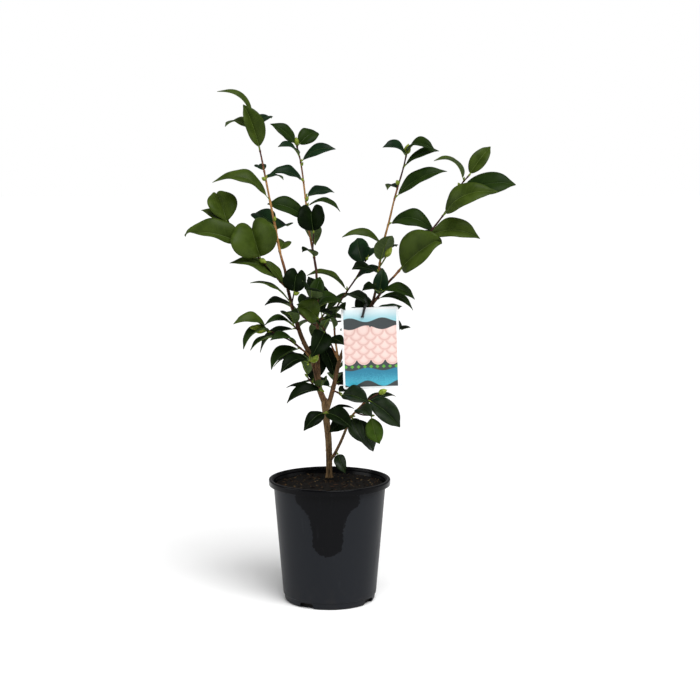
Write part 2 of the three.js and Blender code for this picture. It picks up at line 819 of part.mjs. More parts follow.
// A leaf that would touch something is swung and lifted a little, and skipped if it still would
function addLeaf(mass, owner, line, [share, right, away, up, turn, width = LEAF_WIDTH, bend], random) {
  const arch = bend ?? LEAF_ARCH * (0.5 + random());
  const fold = LEAF_FOLD * (0.5 + random());
  for (const swing of TRIES) {
    const way = new THREE.Vector3(right, away, up).applyAxisAngle(UP, degrees(swing * SWING));
    way.z += swing * LIFT * way.length();
    const rings = leafRings(line.getPoint(share), way, turn, width, arch, fold);
    const blade = solidOf(loft(rings.slice(1), flipOdd));
    const outer = solidOf(loft(rings.slice(3), flipOdd));
    if (isFree(blade, LEAF_SPACE, [owner]) && isFree(outer, CLEAR)) {
      take(blade, `${owner} leaf`);
      return mass.add(solidOf(loft(rings, flipOdd)));
    }
  }
  return mass;
}

// A bud: a pointed egg, sunk into its stem
function budSolid(foot, way, thick) {
  const line = new StemLine([foot.toArray(), foot.clone().add(way).toArray()]);
  const rings = limb(line, (share) => thick * BUD_SHAPE[Math.round(share * (BUD_SHAPE.length - 1))], {
    sides: BUD_SIDES,
    step: line.long / (BUD_SHAPE.length - 1),
  });
  return solidOf(rings);
}

const masses = {};
for (const [name, shoot] of Object.entries(SHOOTS)) {
  const line = new StemLine(shoot.line);
  const grown = shoot.rule ? growByRule(line, shoot.rule) : shoot;
  const taper = ([foot, tip]) => (share) => foot + (tip - foot) * share;
  const whole = solidOf(limb(line, taper(shoot.radii), { sides: TWIG_SIDES }));
  let stem = wholePiece(whole.subtract(roomRound(shoot.from)));
  const lines = [[line, grown.leaves]];
  for (const twig of grown.twigs ?? []) {
    const side = twigLine(line, twig);
    const twigSolid = solidOf(limb(side, taper(TWIG_RADII), { sides: TWIG_SIDES }));
    if (isFree(twigSolid, CLEAR, [name])) {
      stem = stem.add(twigSolid);
      lines.push([side, twig.leaves]);
    }
  }
  take(stem, name);
  masses[name] = { stem, lines };
}

for (const [name, shoot] of Object.entries(SHOOTS)) {
  const random = seeded(name.length * 101 + shoot.line.length);
  let mass = masses[name].stem;
  for (const [line, leaves] of masses[name].lines) {
    for (const leaf of leaves) {
      mass = addLeaf(mass, name, line, leaf, random);
    }
  }
  for (const [share, right, away, up, thick] of shoot.buds ?? []) {
    const foot = masses[name].lines[0][0].getPoint(share);
    const bud = budSolid(foot, new THREE.Vector3(right, away, up), thick);
    if (isFree(bud, CLEAR, [name, `${name} leaf`])) {
      take(bud, name);
      mass = mass.add(bud);
    }
  }
  addMesh(name, geometryOf(wholePiece(mass)), finish(COLOURS.leaf, 0.4));
}

const strap = makeStrap();
addMesh('strap', geometryOf(strap), finish(COLOURS.strap, 0.5));

export default plant;
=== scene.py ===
import math
import random

import bpy
import numpy as np
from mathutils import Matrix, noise
from mathutils.kdtree import KDTree


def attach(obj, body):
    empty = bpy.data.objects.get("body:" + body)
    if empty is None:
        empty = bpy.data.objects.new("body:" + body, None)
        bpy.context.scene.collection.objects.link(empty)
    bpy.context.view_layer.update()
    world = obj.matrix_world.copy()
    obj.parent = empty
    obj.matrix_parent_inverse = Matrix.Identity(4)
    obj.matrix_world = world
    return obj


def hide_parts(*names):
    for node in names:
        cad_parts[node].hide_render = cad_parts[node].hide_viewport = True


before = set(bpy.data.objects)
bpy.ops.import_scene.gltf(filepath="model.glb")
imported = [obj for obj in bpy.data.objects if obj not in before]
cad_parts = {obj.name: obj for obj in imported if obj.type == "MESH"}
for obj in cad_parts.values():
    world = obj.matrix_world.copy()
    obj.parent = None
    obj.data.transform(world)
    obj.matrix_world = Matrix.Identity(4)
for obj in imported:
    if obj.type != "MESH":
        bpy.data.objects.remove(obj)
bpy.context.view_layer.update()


# The camera stands 2.5 m in front of the shrub, a little below the height of its top, and looks
# 7 degrees down, as the one that took the photograph did.

def new_object(name, data):
    thing = bpy.data.objects.new(name, data)
    bpy.context.scene.collection.objects.link(thing)
    return thing


camera = new_object("camera", bpy.data.cameras.new("camera"))
camera.data.sensor_width = 36
camera.data.lens = 78.43
camera.location = (0.034, -2.5, 0.727)
camera.rotation_euler = (math.radians(83), 0, 0)
bpy.context.scene.camera = camera


# The pot is black polypropylene, moulded in one shot: a thin tapering wall, a lip rolled outwards and
# down, a small ledge near the foot, and four arched notches in the bottom edge that let water out.

POT_HEIGHT = 205
RIM_RADIUS = 101.5
NECK_RADIUS = 93.5
LIP_FOOT = 195
BASE_RADIUS = 78
WALL = 2.2
NOTCH_BEARINGS = [-120, -30, 60, 150]
NOTCH_WIDTH = 26
NOTCH_HEIGHT = 9
NOTCH_ROUND = 5
NOTCH_STEPS = 6
NOTCH_REACH = 10
POT_SIDES = 192
POT_CREASE = 38
ROUNDING_STEPS = 5
# Radius, height and how far the rounding of each corner reaches, from the underside round to the inside
POT_CORNERS = [
    (0, 0.8, 0), (56, 0.8, 0.6), (58, 0, 0.6), (75, 0, 4), (76.4, 11.2, 0.6), (78, 12, 0.5),
    (NECK_RADIUS, LIP_FOOT, 0.6), (93.8, 201.9, 1.2), (99.5, 201.9, 0.8), (99.8, 195.6, 0.3),
    (101.2, 195.2, 0.4), (RIM_RADIUS, 198.5, 1), (RIM_RADIUS, POT_HEIGHT, 2.6),
    (95.8, POT_HEIGHT, 2.2), (94.2, 200.5, 2), (91.3, 192, 3), (BASE_RADIUS - WALL, 14, 1),
    (72.4, WALL, 2), (0, WALL, 0),
]


class Wire:
    """A value that runs between the nodes of a material. Sums written with it add Math nodes."""

    def __init__(self, tree, socket=None):
        self.tree = tree
        self.socket = socket

    def node(self, kind, settings=None, sockets=None, out=0):
        """Adds a node: its settings are set first, and then the values or links of its sockets."""
        made = self.tree.nodes.new(kind)
        for name, value in (settings or {}).items():
            setattr(made, name, value)
        for name, value in (sockets or {}).items():
            if isinstance(value, Wire):
                self.tree.links.new(value.socket, made.inputs[name])
            else:
                made.inputs[name].default_value = value
        return Wire(self.tree, made.outputs[out])

    def axes(self, place):
        """The three parts of a place or spot."""
        return [self.node("ShaderNodeSeparateXYZ", {}, {"Vector": place}, k) for k in range(3)]

    def math(self, operation, *values):
        return self.node("ShaderNodeMath", {"operation": operation}, dict(enumerate(values)))

    def __abs__(self):
        return self.math("ABSOLUTE", self)

    def __add__(self, other):
        return self.math("ADD", self, other)

    __radd__ = __add__

    def __mul__(self, other):
        return self.math("MULTIPLY", self, other)

    __rmul__ = __mul__

    def __sub__(self, other):
        return self.math("SUBTRACT", self, other)

    def __rsub__(self, other):
        return self.math("SUBTRACT", other, self)

    def __pow__(self, other):
        return self.math("POWER", self, other)

    def ramp(self, low, high):
        """0 below low and 1 above high, with a smooth rise between them."""
        settings = {"interpolation_type": "SMOOTHSTEP"}
        return self.node("ShaderNodeMapRange", settings, {0: self, 1: low, 2: high, 3: 0.0, 4: 1.0})

    def mix(self, low, high):
        """The colour low where this is 0, and high where it is 1."""
        return self.node("ShaderNodeMix", {"data_type": "RGBA"}, {0: self, 6: low, 7: high}, 2)

    def mottle(self, scale, stretch=(1, 1, 1), detail=3.0, roughness=0.55):
        """Cloudy noise from 0 to 1 in the part's own places. scale is how many clouds go in a metre."""
        place = self.node("ShaderNodeTexCoord", out="Object")
        place = self.node("ShaderNodeMapping", {}, {"Vector": place, "Scale": stretch})
        sockets = {"Vector": place, "Scale": scale, "Detail": detail, "Roughness": roughness}
        return self.node("ShaderNodeTexNoise", {}, sockets)


def tint(red, green, blue):
    """A colour given in screen numbers from 0 to 255."""
    parts = [part / 255 for part in (red, green, blue)]
    return (*[part / 12.92 if part < 0.04 else ((part + 0.055) / 1.055) ** 2.4 for part in parts], 1)


def start_finish(name):
    """A new material, and a wire to build its nodes from."""
    finish = bpy.data.materials.new(name)
    finish.use_nodes = True
    return finish, Wire(finish.node_tree)


def end_finish(finish, colour, roughness, height=None, depth=0.1, fixed=None):
    """Joins a material's colour, roughness and relief to its shader. depth is the relief's, in mm."""
    tree = finish.node_tree
    shader = tree.nodes["Principled BSDF"]
    inputs = {"Base Color": colour, "Roughness": roughness, **(fixed or {})}
    if height is not None:
        sockets = {"Height": height, "Distance": depth / 1000, "Strength": 1.0}
        inputs["Normal"] = Wire(tree).node("ShaderNodeBump", {}, sockets)
    for name, value in inputs.items():
        if isinstance(value, Wire):
            tree.links.new(value.socket, shader.inputs[name])
        else:
            shader.inputs[name].default_value = value
    return finish


def shade_smooth(mesh, crease=None):
    """Shades a mesh smooth, but for edges that turn by more than the crease, in degrees."""
    mesh.polygons.foreach_set("use_smooth", [True] * len(mesh.polygons))
    if crease is not None:
        mesh.set_sharp_from_angle(angle=math.radians(crease))


def add_piece(name, shape, finishes, smooth=True, crease=None):
    """A mesh that rides on the part. Its shape is places in millimetres and faces, and where it has
    them, which finish each face takes and each place's spot on the flat pattern of its finish."""
    places, faces, kinds, spots = [*shape, None, None][:4]
    mesh = bpy.data.meshes.new(name)
    mesh.from_pydata((np.asarray(places) / 1000).tolist(), [], [list(map(int, face)) for face in faces])
    for finish in finishes:
        mesh.materials.append(finish)
    if kinds is not None:
        mesh.polygons.foreach_set("material_index", np.asarray(kinds, np.int32))
    if spots is not None:
        corners = np.zeros(len(mesh.loops), np.int32)
        mesh.loops.foreach_get("vertex_index", corners)
        layer = mesh.uv_layers.new(name="pattern")
        layer.data.foreach_set("uv", np.asarray(spots, np.float32)[corners].ravel())
    if smooth:
        shade_smooth(mesh, crease)
    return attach(new_object(name, mesh), "root")


def rounded(corners):
    """The line through some corners, with each corner rounded off."""
    line = []
    for i, (radius, height, reach) in enumerate(corners):
        corner = np.array([radius, height], float)
        if reach == 0:
            line.append(corner)
            continue
        ends = []
        for other in (corners[i - 1], corners[i + 1]):
            side = np.array(other[:2]) - corner
            ends.append(corner + side * min(reach / np.linalg.norm(side), 0.5))
        for k in range(ROUNDING_STEPS + 1):
            t = k / ROUNDING_STEPS
            line.append((1 - t) ** 2 * ends[0] + 2 * t * (1 - t) * corner + t * t * ends[1])
    return line


def turned(line, sides):
    """Places and faces of a line of (radius, height) turned about the pot's axis."""
    bearings = 2 * math.pi * np.arange(sides) / sides
    places = []
    starts = []
    for radius, height in line:
        starts.append(len(places))
        if radius < 0.001:
            places.append((0, 0, height))
        else:
            places.extend((radius * math.cos(b), radius * math.sin(b), height) for b in bearings)
    faces = []
    for i in range(len(line) - 1):
        for j in range(sides):
            k = (j + 1) % sides
            low = [starts[i] + j, starts[i] + k] if line[i][0] > 0.001 else [starts[i]]
            high = [starts[i + 1] + k, starts[i + 1] + j] if line[i + 1][0] > 0.001 else [starts[i + 1]]
            faces.append(low + high)
    return places, faces


def applied(piece):
    """Leaves a piece with the mesh that its modifiers make, and without the modifiers."""
    ready = piece.evaluated_get(bpy.context.evaluated_depsgraph_get())
    mesh = bpy.data.meshes.new_from_object(ready)
    piece.modifiers.clear()
    piece.data = mesh


def notch_cutter(bearing):
    """A block with an arched top, as wide and high as a notch, across the pot's bottom edge."""
    half = NOTCH_WIDTH / 2
    arch = [(-half, -3)]
    for k in range(NOTCH_STEPS + 1):
        a = math.pi / 2 * k / NOTCH_STEPS
        arch.append((-half + NOTCH_ROUND * (1 - math.cos(a)), NOTCH_HEIGHT - NOTCH_ROUND * (1 - math.sin(a))))
    arch += [(-y, z) for y, z in reversed(arch)]
    turn = math.radians(bearing)
    places = []
    for out in (BASE_RADIUS - NOTCH_REACH, BASE_RADIUS + NOTCH_REACH):
        for y, z in arch:
            place = (out * math.cos(turn) - y * math.sin(turn), out * math.sin(turn) + y * math.cos(turn), z)
            places.append([part / 1000 for part in place])
    count = len(arch)
    faces = [list(range(count)), list(range(2 * count - 1, count - 1, -1))]
    faces += [[j, j + count, (j + 1) % count + count, (j + 1) % count] for j in range(count)]
    mesh = bpy.data.meshes.new("notch")
    mesh.from_pydata(places, [], faces)
    return new_object("notch", mesh)


def pot_finish():
    """Black plastic with a thin bloom on its outer wall, and a painted dark reflection below the lip."""
    finish, wire = start_finish("black_pot_plastic")
    flow = wire.mottle(9, (1, 1, 0.12))
    scuffs = wire.mottle(120, (1, 1, 0.15), 5.0).ramp(0.6, 0.72)
    grit = wire.mottle(700, (1, 1, 1), 2.0)
    right, away, up = wire.axes(wire.node("ShaderNodeTexCoord", out="Object"))
    dusty = (1 - up.ramp(0.004, 0.05)) * wire.mottle(60, detail=6.0).ramp(0.42, 0.7)
    # The outer wall, which slopes by 15.5 mm in 183 mm, and the foot below its ledge
    outside = wire.math("SQRT", right * right + away * away) - up * 0.0847
    outside = wire.math("MAXIMUM", outside.ramp(0.0756, 0.0763), 1 - up.ramp(0.0117, 0.0125))
    # The bloom stops just under the lip, so the lip and the hollow under its roll are darker
    bloom = outside * (1 - up.ramp(0.1935, 0.1955))
    # The painted dark reflection is half this wide at each height, and tapers to a ragged point below
    half = 0.025 + 0.006 * up.ramp(0.13, 0.16) + 0.022 * up.ramp(0.155, 0.185)
    beside = (right + 0.002) * half ** -1
    below = wire.math("MAXIMUM", 0.115 - up, 0.0) * 42
    far = wire.math("SQRT", beside * beside + below * below)
    ragged = 0.32 * wire.mottle(260, detail=3.0) + 0.2 * wire.mottle(60)
    painted_dark_reflection = (1 - (far + ragged).ramp(1.24, 1.26)) * (1 - away.ramp(-0.03, -0.02))
    # The bloom's lighter colour everywhere but in the painted dark reflection, which is also glossier
    bloom_off_reflection = bloom * (1 - 0.9 * painted_dark_reflection)
    # Bare black shows inside, on the lip and in the painted dark reflection
    colour = bloom_off_reflection.mix(flow.mix(tint(4, 4, 6), tint(9, 9, 11)), flow.mix(tint(24, 26, 30), tint(33, 35, 39)))
    colour = (scuffs * 0.1).mix(colour, tint(56, 58, 62))
    colour = (dusty * 0.12).mix(colour, tint(66, 60, 52))
    roughness = 0.14 + 0.2 * bloom_off_reflection + 0.08 * flow + 0.12 * scuffs + 0.15 * dusty
    return end_finish(finish, colour, roughness, grit + 6 * flow, 0.05, {"IOR": 1.16})


pot = add_piece("nursery_pot", turned(rounded(POT_CORNERS), POT_SIDES), [pot_finish()])
cutters = [notch_cutter(bearing) for bearing in NOTCH_BEARINGS]
for cutter in cutters:
    cut = pot.modifiers.new("notch", "BOOLEAN")
    cut.operation = "DIFFERENCE"
    cut.object = cutter
applied(pot)
for cutter in cutters:
    bpy.data.objects.remove(cutter)
shade_smooth(pot.data, POT_CREASE)
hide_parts("pot")


# The potting mix is damp composted bark, filled nearly to the rim and mounded up to the trunk. Chips of
# bark and a few pale slivers of wood lie loose on it.

SOIL_EDGE = 195
SOIL_TOP = 201
SOIL_RADIUS = 90
MOUND_RADIUS = 46
# Radius and height up the inside of the pot, and the radius of the outermost ring of the mix's top
SOIL_SIDE = [(0, 2.8), (70, 2.8), (75, 14), (90.2, 190)]
SOIL_RIM = 90.4
SOIL_RINGS = 64
SOIL_SIDES = 150
TRUNK_SPOT = (-1, 22)
TRUNK_CLEAR = 9
CHIP_COUNT = 900
CHIP_REACH = 88
# How often each kind of chip comes, and its colours
CHIP_KINDS = {
    "dark_bark_chip": (0.62, tint(13, 10, 8), tint(24, 18, 14)),
    "brown_bark_chip": (0.24, tint(34, 24, 17), tint(56, 39, 27)),
    "tan_bark_chip": (0.09, tint(70, 54, 36), tint(96, 75, 50)),
    "pale_wood_sliver": (0.05, tint(104, 86, 60), tint(130, 110, 80)),
}


def soil_height(x, y):
    """The lie of the potting mix: a shallow mound with lumps, and a collar round the trunk."""
    radius = math.hypot(x, y)
    if radius < MOUND_RADIUS:
        level = SOIL_TOP
    else:
        share = min((radius - MOUND_RADIUS) / (SOIL_RADIUS - MOUND_RADIUS), 1)
        level = SOIL_TOP + (SOIL_EDGE - SOIL_TOP) * share ** 1.4
    near = math.hypot(x - TRUNK_SPOT[0], y - TRUNK_SPOT[1])
    level += 1.6 * math.exp(-((near - TRUNK_CLEAR) / 5) ** 2) + 1.5 * noise.noise((x / 17, y / 17, 3))
    return level + 0.9 * noise.noise((x / 5, y / 5, 8)) + 0.5 * noise.noise((x / 2, y / 2, 1)) - 0.8


def soil_line():
    """The mix's outline: up the inside of the pot, and over its top in rings whose height comes later."""
    rings = [(SOIL_RIM - SOIL_RIM * k / SOIL_RINGS, 0) for k in range(SOIL_RINGS)]
    return [*SOIL_SIDE, *rings, (0, 0)]


def ring_faces(sides, rings):
    """The faces of a closed limb whose places come ring by ring: its two ends, and then its skin."""
    faces = [list(range(sides - 1, -1, -1)), list(range(sides * (rings - 1), sides * rings))]
    for i in range(rings - 1):
        for j in range(sides):
            k = (j + 1) % sides
            faces.append([i * sides + j, i * sides + k, i * sides + sides + k, i * sides + sides + j])
    return faces


def joined(shapes):
    """Several shapes as one, with whatever lists come after each one's places and faces."""
    whole = [[] for _ in shapes[0]]
    for places, faces, *others in shapes:
        start = len(whole[0])
        whole[0].extend(places)
        whole[1].extend([start + corner for corner in face] for face in faces)
        for part, own in zip(whole[2:], others):
            part.extend(own)
    return whole


def chip_shape(dice, long, wide, thick):
    """A split chip: a bent, six-sided, jagged bar with blunt ends."""
    places = []
    for i, taper in enumerate((0.55, 1, 0.9, 0.45)):
        along = (i / 3 - 0.5) * long
        for j in range(6):
            turn = math.pi * j / 3
            places.append((
                along + dice.uniform(-0.08, 0.08) * long,
                0.5 * wide * taper * math.cos(turn) * dice.uniform(0.75, 1.15),
                0.5 * thick * taper * math.sin(turn) * dice.uniform(0.7, 1.2),
            ))
    return np.array(places), ring_faces(6, 4)


def chips(dice):
    """Every loose chip on the mix, joined."""
    shares = [share for share, _, _ in CHIP_KINDS.values()]
    made = []
    for _ in range(CHIP_COUNT):
        kind = dice.choices(range(len(shares)), shares)[0]
        radius = CHIP_REACH * math.sqrt(dice.random())
        bearing = dice.uniform(0, 2 * math.pi)
        x, y = radius * math.cos(bearing), radius * math.sin(bearing)
        if math.hypot(x - TRUNK_SPOT[0], y - TRUNK_SPOT[1]) < TRUNK_CLEAR:
            continue
        long = dice.uniform(1.8, 4.5) if dice.random() < 0.85 else dice.uniform(4.5, 10)
        wide = long * dice.uniform(0.18, 0.42) if kind < 2 else dice.uniform(0.7, 1.2)
        long = min(long, 2 * (SOIL_RADIUS - radius) + 4)
        shape, faces = chip_shape(dice, long, wide, min(wide * 0.6, dice.uniform(0.8, 2.4)))
        spin, lean = dice.uniform(0, math.pi), dice.gauss(0, 0.25)
        ahead = np.array([math.cos(spin) * math.cos(lean), math.sin(spin) * math.cos(lean), math.sin(lean)])
        beside = np.array([-math.sin(spin), math.cos(spin), 0])
        over = np.cross(ahead, beside)
        middle = np.array([x, y, soil_height(x, y) + 0.2 + 0.3 * wide * dice.random()])
        made.append((middle + shape @ np.array([ahead, beside, over]), faces, [kind] * len(faces)))
    return joined(made)


def soil_finish():
    finish, wire = start_finish("damp_potting_mix")
    crumbs = wire.mottle(420, detail=6.0, roughness=0.7)
    clods = wire.mottle(90, detail=3.0)
    colour = clods.mix(tint(9, 8, 7), tint(17, 14, 11))
    colour = crumbs.ramp(0.64, 0.74).mix(colour, tint(48, 35, 24))
    return end_finish(finish, colour, 0.72 + 0.2 * crumbs, crumbs, 1.4, {"Specular IOR Level": 0.1})


def grained_finish(name, dark, light, grain, stops, roughness, depth, gloss, wear=None):
    """A finish whose colour, roughness and relief all follow one grain. depth is in mm, gloss is how
    strongly it mirrors the light, and wear is a third colour that comes through in patches."""
    finish, wire = start_finish(name)
    grain = wire.mottle(*grain)
    colour = grain.ramp(*stops).mix(dark, light)
    if wear is not None:
        patches = wire.mottle(70, (1, 1, 0.5), 3.0)
        colour = (patches.ramp(0.5, 0.68) * 0.6).mix(colour, wear)
    fixed = {"Specular IOR Level": gloss}
    return end_finish(finish, colour, roughness[0] + roughness[1] * grain, grain, depth, fixed)


soil_places, soil_faces = turned(soil_line(), SOIL_SIDES)
for i, (x, y, z) in enumerate(soil_places):
    if z == 0:
        soil_places[i] = (x, y, soil_height(x, y))
soil = add_piece("potting_mix_fill", (soil_places, soil_faces), [soil_finish()])
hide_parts("soil")

chip_looks = [
    grained_finish(name, dark, light, (260, (1, 1, 3), 5.0, 0.7), (0.35, 0.65), (0.78, 0.15), 0.5, 0.1)
    for name, (_, dark, light) in CHIP_KINDS.items()
]
loose_chips = add_piece("bark_chips", chips(random.Random(3)), chip_looks, smooth=False)
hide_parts("soil")


# Trunk and boughs are living wood under thin tan bark, smooth with fine cracks and the scars of fallen
# leaves. Each bough grows out of the one below it, so they are joined into one skin with soft forks.

# Each limb's line, and the radius at its foot and its tip
LIMBS = {
    "trunk": ([[-1, 22, 201.3], [-1, 21, 231], [-2, 16, 266], [-5, 11, 298], [-8, 6, 331]], 5.2, 6),
    "bough_left": (
        [[-8, 6, 331], [-16, 2, 353], [-25, -6, 396], [-48, -14, 450], [-67, -20, 521], [-72, -20, 554]],
        5.4, 2.3,
    ),
    "bough_middle": ([[-15, 2, 350], [-19, 10, 402], [-20, 16, 452], [-20, 20, 501], [-22, 24, 551]], 3, 2.1),
    "bough_right": (
        [
            [-6, 9, 314], [1, 13, 336], [8, 17, 362], [17, 22, 401],
            [38, 27, 447], [69, 30, 490], [81, 38, 536],
        ],
        4.4, 2.2,
    ),
    "bough_far_right": ([[67, 30, 487], [84, 24, 511], [98, 18, 531], [107, 13, 541]], 2.5, 2.1),
    "bough_low_right": ([[-1, 21, 228], [9, 11, 245], [22, 0, 274], [34, -10, 308]], 2.9, 2.3),
}
LIMB_SIDES = 20
LIMB_STEP = 3
TRUNK_SUNK = 4.5
FLARE = 2.2
FLARE_HEIGHT = 12
# How far to either side a heading is taken, as a share of the stem
NEAR = 0.01
# The side of the cells in which the limbs are joined, in metres, and how often the skin is smoothed then
SKIN_CELL = 0.00075
SKIN_ROUNDS = 7
# From which heights, in metres, the bark is a bough's and a high bough's
BARK_HEIGHTS = [0.338, 0.45]
# Limb, share of its length, bearing in degrees and size of each scar or knob
SCARS = [
    ("trunk", 0.2, -70, 0.9), ("trunk", 0.36, 160, 0.7), ("trunk", 0.52, -120, 1), ("trunk", 0.68, 20, 0.8),
    ("trunk", 0.83, -60, 1), ("bough_left", 0.12, -100, 1.2), ("bough_left", 0.3, 40, 0.8),
    ("bough_left", 0.47, -150, 0.8), ("bough_left", 0.66, -60, 0.7), ("bough_left", 0.85, 120, 0.6),
    ("bough_middle", 0.3, -80, 0.6), ("bough_middle", 0.6, 60, 0.5), ("bough_middle", 0.8, -140, 0.5),
    ("bough_right", 0.15, -90, 0.9), ("bough_right", 0.36, 70, 0.8), ("bough_right", 0.55, -110, 0.7),
    ("bough_right", 0.85, 30, 0.5), ("bough_low_right", 0.5, -60, 0.5), ("bough_far_right", 0.5, -70, 0.5),
]


class StemLine:
    """The middle line of a stem: the same smooth curve through a few places as in the part's source."""

    def __init__(self, places):
        self.places = [np.array(place, float) for place in places]
        self.reach = [0.0]
        for one, two in zip(self.places, self.places[1:]):
            self.reach.append(self.reach[-1] + np.linalg.norm(two - one))
        self.long = self.reach[-1]

    def slope(self, i):
        a = max(i - 1, 0)
        b = min(i + 1, len(self.places) - 1)
        return (self.places[b] - self.places[a]) / (self.reach[b] - self.reach[a])

    def point(self, share):
        run = share * self.long
        i = 0
        while i + 2 < len(self.places) and run > self.reach[i + 1]:
            i += 1
        span = self.reach[i + 1] - self.reach[i]
        t = (run - self.reach[i]) / span
        place = self.places[i] * (1 + 2 * t) * (1 - t) ** 2 + self.slope(i) * span * t * (1 - t) ** 2
        return place + self.places[i + 1] * t * t * (3 - 2 * t) + self.slope(i + 1) * span * t * t * (t - 1)

    def heading(self, share):
        way = self.point(share + NEAR) - self.point(share - NEAR)
        return way / np.linalg.norm(way)


def tube(line, radius, sides, step, first=0.0, last=1.0):
    """Places and faces of a closed round limb along a line, with domed ends. radius takes a share."""
    count = max(2, round((last - first) * line.long / step))
    shares = [first + (last - first) * i / count for i in range(count + 1)]
    rings = [(shares[0], -0.8, 0.6)] + [(share, 0, 1) for share in shares] + [(shares[-1], 0.8, 0.6)]
    bearings = 2 * math.pi * np.arange(sides) / sides
    side = None
    places = []
    for share, beyond, size in rings:
        along = line.heading(share)
        if side is None:
            side = np.array([1.0, 0, 0]) if abs(along[0]) < 0.9 else np.array([0, 1.0, 0])
        side = side - along * (side @ along)
        side /= np.linalg.norm(side)
        across = np.cross(along, side)
        thick = radius(share)
        middle = line.point(share) + along * beyond * thick * 0.6
        ring = np.outer(np.cos(bearings), side) + np.outer(np.sin(bearings), across)
        places.extend(middle + ring * thick * size)
    return places, ring_faces(sides, len(rings))


def limb_radius(name, line):
    """A limb's thickness at a share of its length, with the trunk's foot flared into the mix."""
    foot, tip = LIMBS[name][1:]
    flare = FLARE if name == "trunk" else 0
    return lambda share: (
        foot + (tip - foot) * share + flare * math.exp(-3 * max(share, 0) * line.long / FLARE_HEIGHT)
    )


def limb_samples():
    """Every millimetre of every limb's middle line: its place, heading, run and the limb's own salt."""
    samples = []
    for order, line in enumerate(limb_lines.values()):
        count = int(line.long)
        for i in range(count + 1):
            samples.append((line.point(i / count), line.heading(i / count), i + 500 * order, 7.3 * order))
    return samples


def scar_marks():
    """Where each scar sits on its limb, the way that the limb heads there, and the scar's size."""
    marks = []
    for name, share, bearing, size in SCARS:
        line = limb_lines[name]
        heading = line.heading(share)
        out = np.array([math.cos(math.radians(bearing)), math.sin(math.radians(bearing)), 0])
        out -= heading * (out @ heading)
        out *= limb_radius(name, line)(share) / np.linalg.norm(out)
        marks.append((line.point(share) + out, heading, size))
    return marks


def tree_of(places):
    tree = KDTree(len(places))
    for i, place in enumerate(places):
        tree.insert(place, i)
    tree.balance()
    return tree


def bark_relief(places):
    """Pushes cracks along each limb, ripples round it and the scars into the skin, in millimetres."""
    samples = limb_samples()
    marks = scar_marks()
    axis = tree_of([sample[0] for sample in samples])
    scars = tree_of([mark[0] for mark in marks])
    carved = []
    for place in places:
        middle, heading, run, salt = samples[axis.find(place)[1]]
        out = place - middle
        out -= heading * (out @ heading)
        thick = max(np.linalg.norm(out), 0.5)
        out /= thick
        crack = noise.noise(out * thick * 0.9 + heading * run * 0.13 + salt)
        grain = noise.noise(place * 0.8 + salt)
        ripple = noise.noise(heading * run * 0.35 + out * 0.5 + salt)
        push = 0.12 * grain + 0.2 * ripple - 0.3 * max(crack, 0) ** 0.7
        spot, which, gap = scars.find(place)
        if gap < 6:
            _, along, size = marks[which]
            rise = (place - np.array(spot)) @ along
            flat = math.sqrt(max(gap * gap - rise * rise, 0))
            push += size * math.exp(-(rise / 1.5) ** 2 - (flat / 2.8) ** 2)
            push -= 0.6 * size * math.exp(-((rise - 1.7) / 0.7) ** 2 - (flat / 2) ** 2)
        carved.append(place + out * push)
    return carved


def bark_finish(name, dark, light, worn):
    cracks = (330, (1, 1, 0.16), 5.0, 0.65)
    return grained_finish(name, dark, light, cracks, (0.36, 0.6), (0.92, -0.2), 0.35, 0.15, worn)


limb_lines = {name: StemLine(limb[0]) for name, limb in LIMBS.items()}
limbs = []
for name, line in limb_lines.items():
    first = -TRUNK_SUNK / line.long if name == "trunk" else 0
    limbs.append(tube(line, limb_radius(name, line), LIMB_SIDES, LIMB_STEP, first))
bark_looks = [
    bark_finish("trunk_bark", tint(60, 46, 30), tint(112, 88, 58), tint(122, 104, 74)),
    bark_finish("bough_bark", tint(60, 42, 28), tint(100, 73, 48), tint(96, 78, 54)),
    bark_finish("high_bough_bark", tint(48, 32, 24), tint(82, 55, 38), tint(88, 66, 46)),
]
bark = add_piece("trunk_and_boughs", joined(limbs), bark_looks)
skin = bark.modifiers.new("skin", "REMESH")
skin.mode = "VOXEL"
skin.voxel_size = SKIN_CELL
skin.use_smooth_shade = True
applied(bark)
soft = bark.modifiers.new("soft", "SMOOTH")
soft.factor = 0.5
soft.iterations = SKIN_ROUNDS
applied(bark)
skin_places = np.zeros(3 * len(bark.data.vertices), np.float32)
bark.data.vertices.foreach_get("co", skin_places)
skin_places = bark_relief(skin_places.reshape(-1, 3).astype(float) * 1000)
bark.data.vertices.foreach_set("co", (np.array(skin_places) / 1000).astype(np.float32).ravel())
bark.data.update()
heights = [face.center.z + 0.016 * noise.noise(face.center * 90) for face in bark.data.polygons]
bark.data.polygons.foreach_set("material_index", np.digitize(heights, BARK_HEIGHTS).astype(np.int32))
shade_smooth(bark.data)
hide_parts(*LIMBS)


# The shoots carry the leaves: this year's and last year's growth, tan and woody low down, smooth and
# purple-brown towards the tip, and a little swollen wherever a leaf joins. Lines, leaves and buds are
# the part's own, so that every leaf stands where its solid does.

